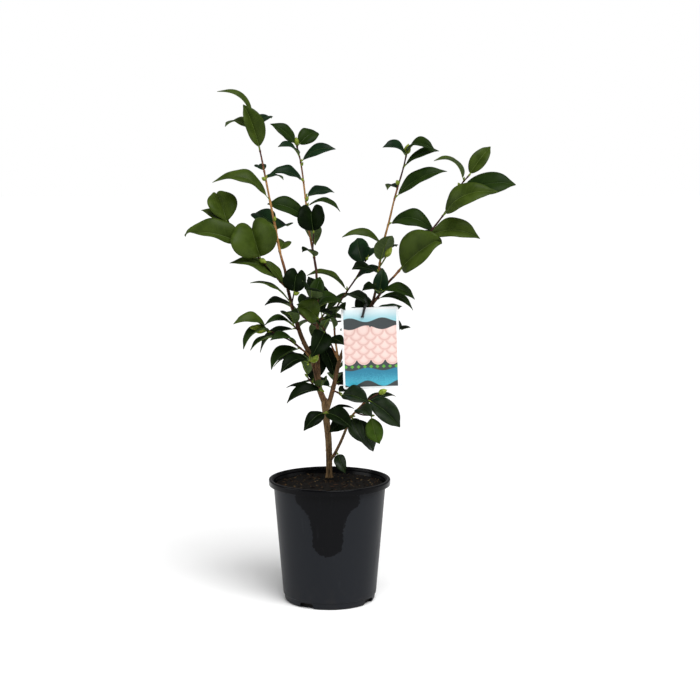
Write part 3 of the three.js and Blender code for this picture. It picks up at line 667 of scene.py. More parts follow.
# A leaf is [share of the stem, right, away, up, turn to the front, width, arch], and a bud is [share,
# right, away, up, thickness], as in the part's source
SHOOTS = {
    "left_top": {
        "line": [
            [-72, -20, 554], [-80, -18, 583], [-86, -15, 615], [-98, -8, 675], [-113, 6, 748],
            [-124, 18, 790],
        ],
        "radii": [2.2, 1.2],
        "leaves": [
            [1, -54, -6, 56, 20, 0.36, 0.2], [0.98, 27, 44, 19, 20, 0.42, 0.1],
            [0.95, -52, 34, 11, 20, 0.46, 0.18], [0.81, -24, -12, 74, 88, 0.43, 0.06],
            [0.62, 28, 34, 0, 10, 0.42], [0.67, -14, 38, 11, 8, 0.44], [0.47, -90, -14, 34, 30, 0.44, 0.24],
            [0.29, -38, 44, 24, 22, 0.6], [0.27, 18, 44, 6, 14, 0.66], [0.13, 8, 38, 14, 20, 0.6],
        ],
        "buds": [[0.61, -7, -3, 4, 6.5], [0.33, 3, -4, 9, 5]],
    },
    "far_left": {
        "line": [
            [-67, -20, 523], [-80, -26, 536], [-95, -32, 555], [-111, -34, 572], [-143, -28, 602],
            [-165, -18, 627],
        ],
        "radii": [1.8, 1.2],
        "leaves": [
            [1, -20, 26, 54, 18, 0.78, 0.08], [0.9, -52, 26, 38, 15, 0.4],
            [0.68, -101, -8, 22, 45, 0.44, 0.12], [0.45, -18, 8, 60, 65, 1.16, 0.2],
            [0.13, -76, -24, 40, 25, 0.5, 0.14], [0.05, -34, -8, 44, 40, 0.42],
        ],
        "buds": [[0.46, 10, -8, -5, 8]],
    },
    "left_spur": {
        "line": [[-62, -18, 492], [-60, -26, 503], [-57, -31, 516]],
        "radii": [1.5, 1.2],
        "leaves": [[1, 6, 4, 41, 25, 0.9, 0.2], [0.3, -64, -22, 40, 10, 0.42, 0.12]],
        "buds": [[0.95, 10, -8, 4, 6]],
    },
    "left_low": {
        "line": [[-49, -14, 452], [-54, -24, 459], [-58, -32, 464]],
        "radii": [1.5, 1.2],
        "leaves": [
            [1, -44, -30, 8, 20, 0.45, 0.16], [0.9, -28, -44, 22, 10], [0.5, -60, -16, -28, 15, 0.42, 0.16],
        ],
    },
    "low_left": {
        "line": [[-29, -7, 408], [-43, -20, 422], [-65, -36, 441], [-101, -54, 460]],
        "radii": [1.8, 1.3],
        "leaves": [
            [0.98, -52, -28, 14, 30, 0.5, 0.2], [0.9, -44, -36, -22, 5, 0.4, 0.22],
            [0.66, -58, -26, -18, 0, 0.34, 0.12], [0.42, -36, -44, 16, 25, 0.5, 0.14],
            [0.3, -48, -28, -26, 15],
        ],
        "buds": [[0.99, -27, -16, 5, 14]],
    },
    "middle_top": {
        "line": [
            [-22, 24, 551], [-27, 28, 580], [-34, 32, 616], [-39, 38, 661], [-47, 50, 723], [-55, 58, 758],
        ],
        "radii": [2, 1.2],
        "twigs": [{"share": 0.16, "tip": [2, -26, 28], "leaves": [[1, -5, 8, 46, 36, 0.94, 0.14]]}],
        "leaves": [
            [0.99, -41, -10, 37, 60, 0.46, 0.1], [0.98, 34, 32, 26, 45, 0.56, 0.18],
            [0.9, -31, -32, 19, 30, 0.52, 0.14], [0.85, 57, -16, 24, 40, 0.46, 0.16],
            [0.7, -52, -26, 16, 40, 0.48, 0.14], [0.57, 48, 36, 12, 20], [0.5, 56, -26, -2, 15, 0.48, 0.18],
            [0.4, -64, -20, 28, 50, 0.52, 0.12], [0.33, 10, 50, -28, 0], [0.1, -16, -46, 16, 20],
        ],
        "buds": [[0.99, -1, -2, 14, 8], [0.82, 3, -3, 7, 4], [0.7, -3, -3, 5, 4.5], [0.54, 5, -3, 8, 5]],
    },
    "middle_spur": {
        "line": [[-20, 18, 478], [-24, 2, 486], [-30, -12, 500]],
        "radii": [1.6, 1.2],
        "leaves": [[1, -42, -58, 14, 30, 0.5], [0.9, 14, 14, 44, 50, 0.5], [0.5, 46, -14, 14, 20]],
    },
    "centre_front": {
        "line": [[14, 19, 402], [-7, -6, 451], [-17, -20, 472]],
        "radii": [1.7, 1.2],
        "leaves": [
            [1, -23, -34, 36, 76, 0.84, 0.1], [0.74, -58, -14, 30, 30, 0.46, 0.12],
            [0.7, -20, -42, -36, 40, 0.6, 0.14], [0.5, 13, -44, -8, 30], [0.8, 19, -46, 27, 25],
        ],
    },
    "centre_left": {
        "line": [[-28, -7, 403], [-28, -18, 406], [-33, -32, 402]],
        "radii": [1.5, 1.2],
        "leaves": [[1, -50, -44, -9, 20, 0.42, 0.2], [0.7, -62, 6, -6, 12, 0.42, 0.18]],
        "buds": [[0.5, 8, -22, 12, 15]],
    },
    "lower_left": {
        "line": [[-17, 1, 356], [-14, -14, 358], [-10, -28, 356]],
        "radii": [1.5, 1.2],
        "leaves": [[1, -59, -22, -15, 25, 0.42, 0.16], [0.8, -59, 10, 6, 10, 0.4], [0.5, 6, -40, 22, 20]],
    },
    "low_front": {
        "line": [[-6, 10, 308], [-8, -4, 316], [-6, -18, 318]],
        "radii": [1.6, 1.2],
        "leaves": [
            [1, 42, -34, -18, 35, 0.55, 0.14], [0.9, -30, -36, -20, 35, 0.5, 0.22],
            [0.5, 48, -8, 12, 10, 0.45],
        ],
    },
    "low_right": {
        "line": [[34, -10, 308], [54, -16, 331], [67, -20, 342], [82, -24, 352]],
        "radii": [1.9, 1.2],
        "twigs": [{"share": 0.2, "tip": [26, -20, -2], "leaves": [[1, 12, -10, -46, 70, 0.66, 0.08]]}],
        "leaves": [
            [0.66, 52, -26, -40, 50, 0.5, 0.2], [0.5, 54, 22, 14, 20, 0.4], [0.3, 22, -46, -2, 30],
            [0.06, 20, -30, -40, 50, 0.5, 0.12], [0.05, 38, 6, -60, 70, 0.45, 0.1],
            [0.04, -34, -32, -18, 45, 0.5],
        ],
        "buds": [[0.99, 14, -2, 6, 9]],
    },
    "foot_spur": {
        "line": [[8, 12, 241], [12, 2, 246], [13, -8, 248]],
        "radii": [1.4, 1.2],
        "leaves": [[1, 13, -24, -28, 35, 0.5, 0.14]],
    },
    "right_low": {
        "line": [[4, 14, 350], [12, 6, 349], [18, -4, 346]],
        "radii": [1.5, 1.2],
        "leaves": [[1, 46, -26, -8, 40, 0.62, 0.12], [0.6, 34, 42, 2, 10]],
    },
    "right_inner": {
        "line": [[15, 21, 397], [8, 40, 449], [12, 50, 485], [26, 58, 508], [44, 64, 534], [62, 72, 566]],
        "radii": [1.9, 1.2],
        "leaves": [
            [0.99, 10, 38, 20, 10], [0.93, -10, 30, 46, 30, 0.66, 0.12], [0.79, 48, -8, 19, 25, 0.46, 0.14],
            [0.67, -65, -14, 32, 10, 0.42, 0.14], [0.62, 40, -42, -10, 15], [0.57, -42, -40, -4, 30],
            [0.42, 14, -52, 20, 20], [0.3, -22, -32, 34, 45],
        ],
        "buds": [[0.99, 3, -2, 6, 5.5]],
    },
    "right_top": {
        "line": [
            [81, 38, 536], [84, 42, 563], [91, 47, 599], [99, 52, 629], [109, 58, 670], [123, 65, 718],
            [129, 70, 744],
        ],
        "radii": [2.1, 1.2],
        "leaves": [
            [0.99, 44, -38, 8, 30, 0.5, 0.26], [0.97, -36, -34, 18, 45, 0.55, 0.14],
            [0.88, 55, -24, 31, 35, 0.42, 0.12], [0.71, -16, 48, 2, 5, 0.4],
            [0.63, 84, -12, 49, 45, 0.34, 0.12], [0.42, 76, -26, -6, 40, 0.48, 0.26],
            [0.26, -68, -18, 16, 25, 0.4, 0.14], [0.2, 26, 48, 10, 0], [0.12, 17, -30, 50, 5, 0.6, 0.05],
            [0.04, -42, -40, 14, 25],
        ],
        "buds": [[0.99, 3, -3, 17, 11], [0.745, -4, -4, 7, 7], [0.08, 21, -12, 36, 9.5]],
    },
    "right_middle": {
        "line": [[76, 27, 500], [81, 16, 506], [84, 6, 516]],
        "radii": [1.6, 1.2],
        "leaves": [
            [1, 56, -20, -8, 30, 0.44, 0.22], [0.9, -28, -42, 10, 30], [0.5, 7, 4, 48, 62, 0.52],
            [0.25, 60, -14, -14, 20, 0.42, 0.24],
        ],
    },
    "far_right": {
        "line": [
            [107, 13, 541], [122, 9, 559], [142, 1, 585], [165, -6, 615], [189, -8, 647], [215, -6, 692],
            [226, -6, 705],
        ],
        "radii": [2, 1.2],
        "leaves": [
            [1, 37, 14, 49, 55, 0.42, 0.08], [0.95, -46, -26, 38, 20, 0.45, 0.2],
            [0.84, 93, -20, 18, 50, 0.48, 0.08], [0.63, 81, -42, 44, 58, 0.44, 0.2],
            [0.42, 85, -20, 1, 50, 0.46, 0.2], [0.38, 30, 52, 10, 0], [0.06, 65, -50, 57, 80, 0.72, 0.06],
        ],
        "buds": [[0.9, -4, -3, 6, 5]],
    },
    "back_left": {
        "line": [[-20, 16, 440], [-18, 56, 460], [-8, 98, 474]],
        "radii": [1.8, 1.2],
        "rule": {"seed": 4, "leaves": 6, "twigs": 2},
    },
    "back_right": {
        "line": [[34, 26, 438], [56, 74, 446], [74, 126, 458]],
        "radii": [1.8, 1.2],
        "rule": {"seed": 9, "leaves": 6, "twigs": 2},
    },
    "back_low": {
        "line": [[-6, 10, 300], [2, 50, 340], [12, 96, 380]],
        "radii": [1.8, 1.2],
        "rule": {"seed": 15, "leaves": 6, "twigs": 2},
    },
}
# Between which shares of its length each shoot is woody and tan
WOODY = {
    "left_top": (0.12, 0.6), "middle_top": (0.26, 0.72), "right_top": (0.1, 0.6), "far_right": (0, 0.03),
    "far_left": (0, 0.1), "low_right": (0, 0.5), "low_left": (0, 0.2), "right_inner": (0, 0.2),
}
TWIG_SAG = 0.06
TWIG_RADII = (1.3, 1.1)
TWIG_SIDES = 12
TWIG_STEP = 1.5
SWELLING = 0.32
# How near its end a side twig's solid has to come, or else there is no such twig
TWIG_FOUND = 2
GOLDEN_TURN = 137.5
LEAF_LONG = 58
LEAF_VARY = 20
LEAF_OPEN = 40
LEAF_DROOP = 0.12
TWIG_LONG = 44
TWIG_VARY = 12
TWIG_OPEN = 55
TWIG_LEAVES = 2
UP = np.array([0, 0, 1.0])


class Seeded:
    """The source's own seeded numbers from 0 to 1."""

    def __init__(self, seed):
        self.state = seed

    def __call__(self):
        self.state = (self.state * 1664525 + 1013904223) % 4294967296
        return self.state / 4294967296


def unit(way):
    return way / np.linalg.norm(way)


def aside(line, share, bearing, open_angle):
    """A direction that leaves a stem at an angle, at a bearing round it."""
    along = line.heading(share)
    side = unit(np.cross(UP, along))
    over = np.cross(along, side)
    spread = side * math.cos(bearing) + over * math.sin(bearing)
    return along * math.cos(open_angle) + spread * math.sin(open_angle)


def twig_line(line, share, tip):
    """A side twig leaves its stem and bends a little upwards."""
    foot = line.point(share)
    way = np.array(tip, float)
    middle = foot + way * 0.5 - UP * TWIG_SAG * np.linalg.norm(way)
    return StemLine([foot, middle, foot + way])


def grow_by_rule(line, seed, leaves, twigs):
    """The leaves and side twigs of a shoot that isn't placed leaf by leaf, spiralling round its stem."""
    draw = Seeded(seed)

    def leaf_on(stem, i, count):
        share = 1 - 0.5 * i / count
        bearing = math.radians(GOLDEN_TURN * i + 30 * draw())
        way = aside(stem, share, bearing, math.radians(LEAF_OPEN + 30 * draw()))
        way[2] -= LEAF_DROOP
        way = unit(way) * (LEAF_LONG + LEAF_VARY * draw())
        return [share, *way, 30 * draw()]

    grown = [leaf_on(line, i, leaves) for i in range(leaves)]
    grown_twigs = []
    for i in range(twigs):
        share = (i + 1) / (twigs + 1)
        way = aside(line, share, math.radians(180 * i + 40 * draw()), math.radians(TWIG_OPEN))
        way = unit(way) * (TWIG_LONG + TWIG_VARY * draw())
        stem = twig_line(line, share, way)
        twig_leaves = [leaf_on(stem, j, TWIG_LEAVES) for j in range(TWIG_LEAVES)]
        grown_twigs.append({"share": share, "tip": way, "leaves": twig_leaves})
    return grown, grown_twigs


def joint_swelling(line, radius, shares):
    """A stem's thickness with a small knuckle at each leaf, and a slight, uneven taper."""
    return lambda share: radius(share) * (
        1 + SWELLING * sum(math.exp(-(((share - at) * line.long + 0.6) / 1.5) ** 2) for at in shares)
        + 0.05 * math.sin(share * line.long / 5.3)
    )


def straight_taper(foot, tip):
    return lambda share: foot + (tip - foot) * share


# Every stem that bears leaves: its shoot, line, thickness, leaves, and the shares where it is woody
stems = []
node_trees = {}
for name, shoot in SHOOTS.items():
    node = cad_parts[name]
    node_trees[name] = tree_of([np.array(vertex.co) * 1000 for vertex in node.data.vertices])
    line = StemLine(shoot["line"])
    leaves = shoot.get("leaves", [])
    side_twigs = shoot.get("twigs", [])
    if "rule" in shoot:
        leaves, side_twigs = grow_by_rule(line, **shoot["rule"])
    stems.append((name, line, straight_taper(*shoot["radii"]), leaves, WOODY.get(name, (0, 0.2))))
    for twig in side_twigs:
        side = twig_line(line, twig["share"], twig["tip"])
        if node_trees[name].find(side.places[-1])[2] < TWIG_FOUND:
            stems.append((name, side, straight_taper(*TWIG_RADII), twig["leaves"], (0, 0)))

TWIG_COLOURS = {
    "woody_shoot": (tint(116, 82, 46), tint(160, 120, 72)),
    "ripening_shoot": (tint(90, 56, 36), tint(120, 78, 48)),
    "young_shoot": (tint(46, 23, 21), tint(68, 36, 29)),
}
twig_looks = [
    grained_finish(name, dark, light, (500, (1, 1, 0.2), 4.0), (0.35, 0.65), (0.5, 0.25), 0.12, 0.15)
    for name, (dark, light) in TWIG_COLOURS.items()
]
stem_shapes = []
dice = random.Random(11)
for _, line, radius, leaves, woody in stems:
    thick = joint_swelling(line, radius, [leaf[0] for leaf in leaves])
    places, faces = tube(line, thick, TWIG_SIDES, TWIG_STEP, -1 / line.long)
    kinds = []
    for i in range(len(faces)):
        share = i / len(faces) + dice.uniform(-0.05, 0.05)
        off = max(woody[0] - share, share - woody[1])
        kinds.append(0 if off < 0 else 1 if off < 0.12 else 2)
    stem_shapes.append((places, faces, kinds))
twigs = add_piece("shoots_and_twigs", joined(stem_shapes), twig_looks)
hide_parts(*SHOOTS)


# The leaves are leathery and glossy, dark green above and pale and matt underneath, each on a short
# green stalk. The blade folds a little along its sunken midrib, arches, and ends in a drip tip that
# hooks down. Its edge is cut into fine teeth.

LEAF_WIDTH = 0.52
LEAF_STALK = 0.09
LEAF_FOLD = 0.2
LEAF_ARCH = 0.09
SWING = 8
LIFT = 0.06
TRIES = [0, 1, -1, 2, -2, 3, -3, 4, -4]
# How near its tip a corner of its solid has to be, or else there is no such leaf
LEAF_FOUND = 0.05
BLADE_ROWS = 42
HALF_COLUMNS = 8
BLADE_THICK = 0.42
# How thick the midrib is at its middle and beside it, and how far it is sunk
RIB_THICK = 1.15
RIB_SIDE_THICK = 0.55
RIB_SUNK = 0.22
TOOTH = 0.1
STALK_SIDES = 10
STALK_RINGS = 8
FRONT = np.array([0, -1.0, 0])
# Leaves left of and right of this, from the middle of the pot, go into the outer pieces
CROWN_SPLIT = 62
# Leaves that curl over backwards, which gives some the shape of a heart: the shoot and share of each,
# from where on the leaf, by how many degrees, how far its two lobes stand out, and by how many more
# degrees it turns to the front
CURLED = {
    ("far_left", 0.45): (0.75, 150, 0.08, 0), ("far_left", 1): (0.86, 120, 0.04, 0),
    ("far_left", 0.68): (0.88, 100, 0, 0), ("left_spur", 1): (0.62, 160, 0.13, 25),
    ("middle_top", 1): (0.62, 160, 0.14, 0), ("centre_front", 1): (0.64, 160, 0.1, 0),
    ("far_right", 0.06): (0.84, 130, 0.02, -14),
}
# The screen colours of each green's upper face, dark and light, and how strongly it mirrors the light
LEAF_GREENS = {
    "olive_leaf": (tint(42, 56, 12), tint(55, 70, 20), 0.12),
    "bright_olive_leaf": (tint(50, 65, 16), tint(63, 79, 24), 0.12),
    "deep_green_leaf": (tint(21, 37, 8), tint(31, 47, 12), 0.08),
    # Partly the leaves' own dark tone and partly painted shade, for leaves in the crown's shade
    "dark_green_painted_shade_leaf": (tint(7, 15, 4), tint(14, 25, 7), 0.05),
    "blue_green_leaf": (tint(11, 30, 13), tint(20, 41, 20), 0.12),
    "fresh_green_leaf": (tint(44, 64, 14), tint(58, 80, 20), 0.12),
    "shining_dark_leaf": (tint(12, 24, 7), tint(22, 35, 12), 0.24),
}
LIGHT_GREENS = (0, 1, 5)
LIGHT_MIDRIB = len(LEAF_GREENS)
DARK_MIDRIB = LIGHT_MIDRIB + 1
UNDERSIDE = LIGHT_MIDRIB + 2
STALK = LIGHT_MIDRIB + 3
# Which green each leaf of a spray takes, in the order of its rows. A short list starts again
# Green 3, the darkest, is partly painted shade for the leaves that lie in the crown's shade
SPRAY_GREENS = {
    "left_top": [0, 4, 0, 0, 4, 4, 0, 4, 4, 0], "far_left": [1, 0, 0, 0, 0, 0], "left_spur": [3, 0],
    "left_low": [2, 3, 3], "low_left": [0, 2, 2, 2, 2], "middle_top": [2, 2, 4, 4, 4, 4, 2, 2, 4, 3, 3],
    "middle_spur": [3, 2, 2], "centre_front": [0, 2, 3, 3, 3], "centre_left": [3], "lower_left": [3],
    "low_front": [3], "low_right": [6, 3, 6, 6, 6, 3, 5], "foot_spur": [6], "right_low": [6],
    "right_inner": [4, 4, 4, 0, 6, 2, 3, 6], "right_top": [2, 4, 2, 4, 2, 2, 0, 4, 2, 3],
    "right_middle": [2, 3, 4, 2], "far_right": [0, 0, 2, 0, 0, 2, 0], "back_left": [3, 2, 4],
    "back_right": [3, 4, 2], "back_low": [3, 3, 4],
}


def turned_about_up(way, degrees):
    a = math.radians(degrees)
    x, y, z = way
    return np.array([x * math.cos(a) - y * math.sin(a), x * math.sin(a) + y * math.cos(a), z])


def found_way(name, root, way):
    """Where a leaf points: the first of its tries whose tip its solid has, or None if it has none."""
    for swing in TRIES:
        tried = turned_about_up(way, swing * SWING)
        tried[2] += swing * LIFT * np.linalg.norm(tried)
        if node_trees[name].find(root + tried)[2] < LEAF_FOUND:
            return tried
    return None


def smooth_step(low, high, value):
    t = np.clip((value - low) / (high - low), 0, 1)
    return t * t * (3 - 2 * t)


def blade_half(share, belly):
    """Half a blade's width at a share of its length: round below, and pointed above. A larger belly
    sets the widest place further along."""
    body = np.sin(np.pi * np.clip(share, 0, 1) ** belly) ** 0.8
    return body * (1 - 0.3 * smooth_step(0.8, 0.97, share)) + 0.02 * (share > 0)


def leaf_mesh(root, way, turn, width, arch, fold, curled, dice):
    """One leaf: places, faces, kinds (0 upper face, 1 midrib, 2 under face, 3 stalk) and pattern spots."""
    start, bend, lobes, more_turn = curled
    bend = math.radians(bend)
    turn = math.radians(turn + more_turn)
    long = np.linalg.norm(way)
    chord = way / long
    level = unit(np.cross(chord, UP))
    face = np.cross(level, chord)
    facing = -1 if level @ FRONT < 0 else 1
    face = face * math.cos(turn) + level * facing * math.sin(turn)
    across = np.cross(face, chord)
    hook = dice.uniform(0.03, 0.12)
    twist = math.radians(dice.uniform(-22, 22))
    wave, waves, phase = dice.uniform(0.03, 0.08), dice.uniform(1.2, 2.4), dice.uniform(0, 6.3)
    belly = dice.uniform(0.78, 1.02)
    puff = dice.uniform(0.07, 0.14)

    def middle_at(share):
        share = np.asarray(share, float)[..., None]
        hang = hook * long * np.clip((share - 0.7) / 0.3, 0, 1) ** 2
        if bend == 0:
            return root + way * share + face * (arch * long * np.sin(np.pi * share) - hang)
        bent = bend * np.clip((share - start) / (1 - start), 0, 1)
        reach = (1 - start) * long / bend
        middle = root + way * np.minimum(share, start) + face * arch * long * np.sin(np.pi * share)
        return middle + chord * reach * np.sin(bent) - face * reach * (1 - np.cos(bent))

    parts = np.linspace(0, 1, BLADE_ROWS + 1)
    shares = LEAF_STALK + (1 - LEAF_STALK) * parts
    middles = middle_at(shares)
    along = middle_at(shares + 0.005) - middle_at(shares - 0.005)
    along /= np.linalg.norm(along, axis=1)[:, None]
    lift = np.cross(along, across)
    lift /= np.linalg.norm(lift, axis=1)[:, None]
    beside = np.cross(lift, along)
    swirl = twist * (parts - 0.3)
    beside, lift = (
        beside * np.cos(swirl)[:, None] + lift * np.sin(swirl)[:, None],
        lift * np.cos(swirl)[:, None] - beside * np.sin(swirl)[:, None],
    )
    half = 0.5 * width * long * blade_half(parts, belly)
    teeth = np.where(np.arange(BLADE_ROWS + 1) % 2 == 1, TOOTH, 0) * (half > 3)
    rib = np.minimum(0.5 - 0.28 * parts, 0.6 * half)
    columns = np.linspace(0, 1, HALF_COLUMNS + 1)
    upper = []
    spots = []
    for side in (1, -1):
        order = columns[::-1] if side > 0 else columns
        for u in order:
            reach = rib + (half + teeth * (u == 1) - rib) * u
            rise = fold * reach + puff * half * 3 * u * (1 - u) - 0.1 * half * u ** 4
            rise += wave * half * u * u * np.sin(2 * np.pi * waves * parts + phase + side)
            lobe = lobes * long * math.sin(math.pi * u) * smooth_step(0.45, 0.85, parts)
            place = middles + beside * (side * reach)[:, None] + lift * rise[:, None]
            upper.append(place + chord * lobe[:, None])
            spots.append(np.stack([np.full(len(parts), 0.5 + 0.5 * side * u), parts], 1))
        if side > 0:
            upper.append(middles - lift * RIB_SUNK)
            spots.append(np.stack([np.full(len(parts), 0.5), parts], 1))
    upper = np.stack(upper, 1)
    spots = np.stack(spots, 1)
    wide = upper.shape[1]
    rib_column = wide // 2
    depth = BLADE_THICK * (1 - 0.7 * np.abs(np.linspace(-1, 1, wide)) ** 3)
    depth = np.tile(depth, (len(parts), 1))
    depth[:, rib_column - 1] = depth[:, rib_column + 1] = RIB_SIDE_THICK
    depth[:, rib_column] = RIB_THICK * (1 - 0.6 * parts)
    under = upper - lift[:, None, :] * depth[:, :, None]
    places = [*upper.reshape(-1, 3), *under.reshape(-1, 3)]
    flat_spots = [*spots.reshape(-1, 2), *spots.reshape(-1, 2)]
    faces = []
    kinds = []
    below = wide * (BLADE_ROWS + 1)
    for i in range(BLADE_ROWS):
        for j in range(wide - 1):
            a, b, c, d = i * wide + j, i * wide + j + 1, (i + 1) * wide + j + 1, (i + 1) * wide + j
            on_rib = j in (rib_column - 1, rib_column)
            faces.append([d, c, b, a])
            faces.append([below + a, below + b, below + c, below + d])
            kinds.extend([1, 3] if on_rib else [0, 2])
        for j, turns in ((0, False), (wide - 1, True)):
            a, d = i * wide + j, (i + 1) * wide + j
            rim = [a, below + a, below + d, d]
            faces.append(rim[::-1] if turns else rim)
            kinds.append(0)
    last = BLADE_ROWS * wide
    faces.append([last + j for j in range(wide)] + [below + last + j for j in range(wide - 1, -1, -1)])
    kinds.append(0)
    faces.append([j for j in range(wide - 1, -1, -1)] + [below + j for j in range(wide)])
    kinds.append(3)

    stalk_start = len(places)
    turns = 2 * np.pi * np.arange(STALK_SIDES) / STALK_SIDES
    stalk_shares = np.linspace(0, LEAF_STALK * 1.5, STALK_RINGS)
    stalk_thick = np.interp(stalk_shares / LEAF_STALK, [0, 0.15, 0.5, 1, 1.5], [1.5, 1.25, 0.95, 0.95, 0.5])
    for share, thick in zip(stalk_shares, stalk_thick):
        sink = 0.35 * min(share / LEAF_STALK, 1)
        middle = middle_at(share) - face * sink
        places.extend(middle + thick * (math.cos(t) * across + 0.85 * math.sin(t) * face) for t in turns)
        flat_spots.extend([(0.5, 0.01 * share)] * STALK_SIDES)
    for i in range(STALK_RINGS - 1):
        for j in range(STALK_SIDES):
            a = stalk_start + STALK_SIDES * i + j
            b = stalk_start + STALK_SIDES * i + (j + 1) % STALK_SIDES
            faces.append([b, a, a + STALK_SIDES, b + STALK_SIDES])
            kinds.append(3)
    faces.append([stalk_start + j for j in range(STALK_SIDES)])
    faces.append(list(range(len(places) - 1, len(places) - 1 - STALK_SIDES, -1)))
    kinds.extend([3, 3])
    return places, faces, kinds, flat_spots


def vein_lines(wire):
    """Side veins that leave the midrib forwards and curve on to the edge, as thin lines."""
    across, along, _ = wire.axes(wire.node("ShaderNodeUVMap", {"uv_map": "pattern"}))
    off = abs(across - 0.5)
    phase = along * 8.5 - off * 3.2 + off * off * 2.4 + wire.mottle(45) * 0.5
    return 1 - abs(wire.math("FRACT", phase) - 0.5).ramp(0.02, 0.12)


def upper_finish(name, dark, light, gloss):
    finish, wire = start_finish(name)
    veins = vein_lines(wire)
    cloud = wire.mottle(40, detail=2.0)
    skin = wire.mottle(900, detail=2.0)
    blotch = wire.mottle(70, detail=2.0).ramp(0.7, 0.8)
    colour = cloud.ramp(0.35, 0.65).mix(dark, light)
    colour = (veins * 0.35).mix(colour, light)
    colour = (blotch * 0.2).mix(colour, tint(92, 82, 40))
    roughness = 0.36 + 0.12 * cloud + 0.05 * veins
    fixed = {"Specular IOR Level": gloss, "IOR": 1.35}
    return end_finish(finish, colour, roughness, skin * 0.04 - veins * 0.05, 0.12, fixed)


def under_finish():
    finish, wire = start_finish("leaf_underside")
    veins = vein_lines(wire)
    cloud = wire.mottle(80)
    colour = cloud.mix(tint(52, 68, 32), tint(73, 89, 48))
    colour = (veins * 0.25).mix(colour, tint(100, 114, 66))
    return end_finish(finish, colour, 0.6 + 0.1 * cloud, veins, 0.12, {"Specular IOR Level": 0.1})


def stalk_finish(name, dark, light):
    return grained_finish(name, dark, light, (240,), (0.3, 0.7), (0.36, 0.1), 0.06, 0.15)


leaf_looks = [upper_finish(name, *green) for name, green in LEAF_GREENS.items()]
leaf_looks += [
    stalk_finish("light_midrib", tint(62, 78, 28), tint(80, 96, 38)),
    stalk_finish("dark_midrib", tint(34, 50, 18), tint(50, 66, 26)),
    under_finish(),
    stalk_finish("leaf_stalk", tint(84, 104, 26), tint(106, 126, 38)),
]
# The crown goes into three pieces, so that none is too heavy
CROWN_PIECES = {"leaves_left": [], "leaves_middle": [], "leaves_right": []}
leaf_roots = []
for name, shoot in SHOOTS.items():
    draw = Seeded(len(name) * 101 + len(shoot["line"]))
    dice = random.Random(len(name) * 31 + len(shoot["line"]))
    greens = SPRAY_GREENS[name]
    count = 0
    for owner, line, radius, leaves, _ in stems:
        if owner != name:
            continue
        for share, right, away, up, turn, *form in leaves:
            width = form[0] if form else LEAF_WIDTH
            arch = form[1] if len(form) > 1 else LEAF_ARCH * (0.5 + draw())
            fold = LEAF_FOLD * (0.5 + draw()) * dice.choice([1.2, 1.8, 2.5])
            root = line.point(share)
            way = found_way(name, root, np.array([right, away, up], float))
            if way is None:
                continue
            green = greens[count % len(greens)]
            looks = [green, LIGHT_MIDRIB if green in LIGHT_GREENS else DARK_MIDRIB, UNDERSIDE, STALK]
            curled = CURLED.get((name, share), (1, 0, 0, 0))
            places, faces, kinds, spots = leaf_mesh(root, way, turn, width, arch, fold, curled, dice)
            middle = root[0] + 0.5 * way[0]
            side = "left" if middle < -CROWN_SPLIT else "right" if middle > CROWN_SPLIT else "middle"
            CROWN_PIECES["leaves_" + side].append((places, faces, [looks[kind] for kind in kinds], spots))
            leaf_roots.append((line, share, way, radius(share)))
            count += 1

for name, leaf_shapes in CROWN_PIECES.items():
    crown = add_piece(name, joined(leaf_shapes), leaf_looks)
    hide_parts(*SHOOTS)


# Flower and leaf buds are plump and pointed, wrapped in overlapping scales that are yellow-green with
# paler edges. One sits at the tip of most shoots, and a small one where many leaves join.

BUD_SCALES = 7
# Sides and rows of a plump bud and of a small one, and from what thickness a bud is plump
BUD_GRIDS = ((36, 26), (18, 13))
PLUMP = 5
# How near its tip a corner of a bud's solid has to be, as a share of its thickness
BUD_FOUND = 0.2


def bud_mesh(foot, way, thick, dice):
    """A bud: places, faces and kinds (0 scale, 1 the edge of a scale, 2 stalk)."""
    long = np.linalg.norm(way)
    along = way / long
    side = unit(np.cross(along, [0.3, 0.5, 0.8]))
    over = np.cross(along, side)
    body = min(long, 2.1 * thick)
    start = long - body
    sides, count = BUD_GRIDS[0] if thick > PLUMP else BUD_GRIDS[1]
    turns = 2 * np.pi * np.arange(sides) / sides
    rows = np.linspace(0, 1, count)
    wide, high = np.meshgrid(turns, rows)
    profile = 0.5 * thick * np.sin(np.pi * np.clip(high, 0, 1) ** 0.72) ** 0.8
    profile = profile * (1 - 0.35 * smooth_step(0.75, 1, high)) + 0.1 * thick * (high < 0.06)
    relief = np.zeros_like(wide)
    edge = np.zeros_like(wide)
    spin = dice.uniform(0, 6.28)
    for k in range(BUD_SCALES):
        centre = spin + 2.4 * k
        reach = 0.34 + 0.66 * k / (BUD_SCALES - 1)
        spread = 1.5 - 0.35 * k / BUD_SCALES
        gap = (wide - centre + np.pi) % (2 * np.pi) - np.pi
        inside = 1 - (gap / spread) ** 2 - (high / reach) ** 3
        layer = 1 - 0.8 * k / BUD_SCALES
        rise = layer * smooth_step(0, 0.16, inside)
        new = rise > relief
        edge = np.where(new, (inside < 0.16) * 1.0, edge)
        relief = np.maximum(relief, rise)
    outer = profile + 0.055 * thick * relief
    outer[-1] = 0.02 * thick
    places = []
    for i in range(count):
        middle = foot + along * (start + body * rows[i])
        spokes = np.outer(np.cos(turns), side) + np.outer(np.sin(turns), over)
        places.extend(middle + spokes * outer[i][:, None])
    kinds = [0, 1]
    for i in range(count - 1):
        kinds.extend(1 if edge[i][j] > 0.5 or rows[i] > 0.93 else 0 for j in range(sides))
    bud = (places, ring_faces(sides, count), kinds)
    if start <= 1:
        return bud
    line = StemLine([foot, foot + along * start * 0.5, foot + along * (start + 0.12 * body)])
    stalk_places, stalk_faces = tube(line, lambda share: 1.1 + 0.5 * share, 10, 2)
    return joined([bud, (stalk_places, stalk_faces, [2] * len(stalk_faces))])


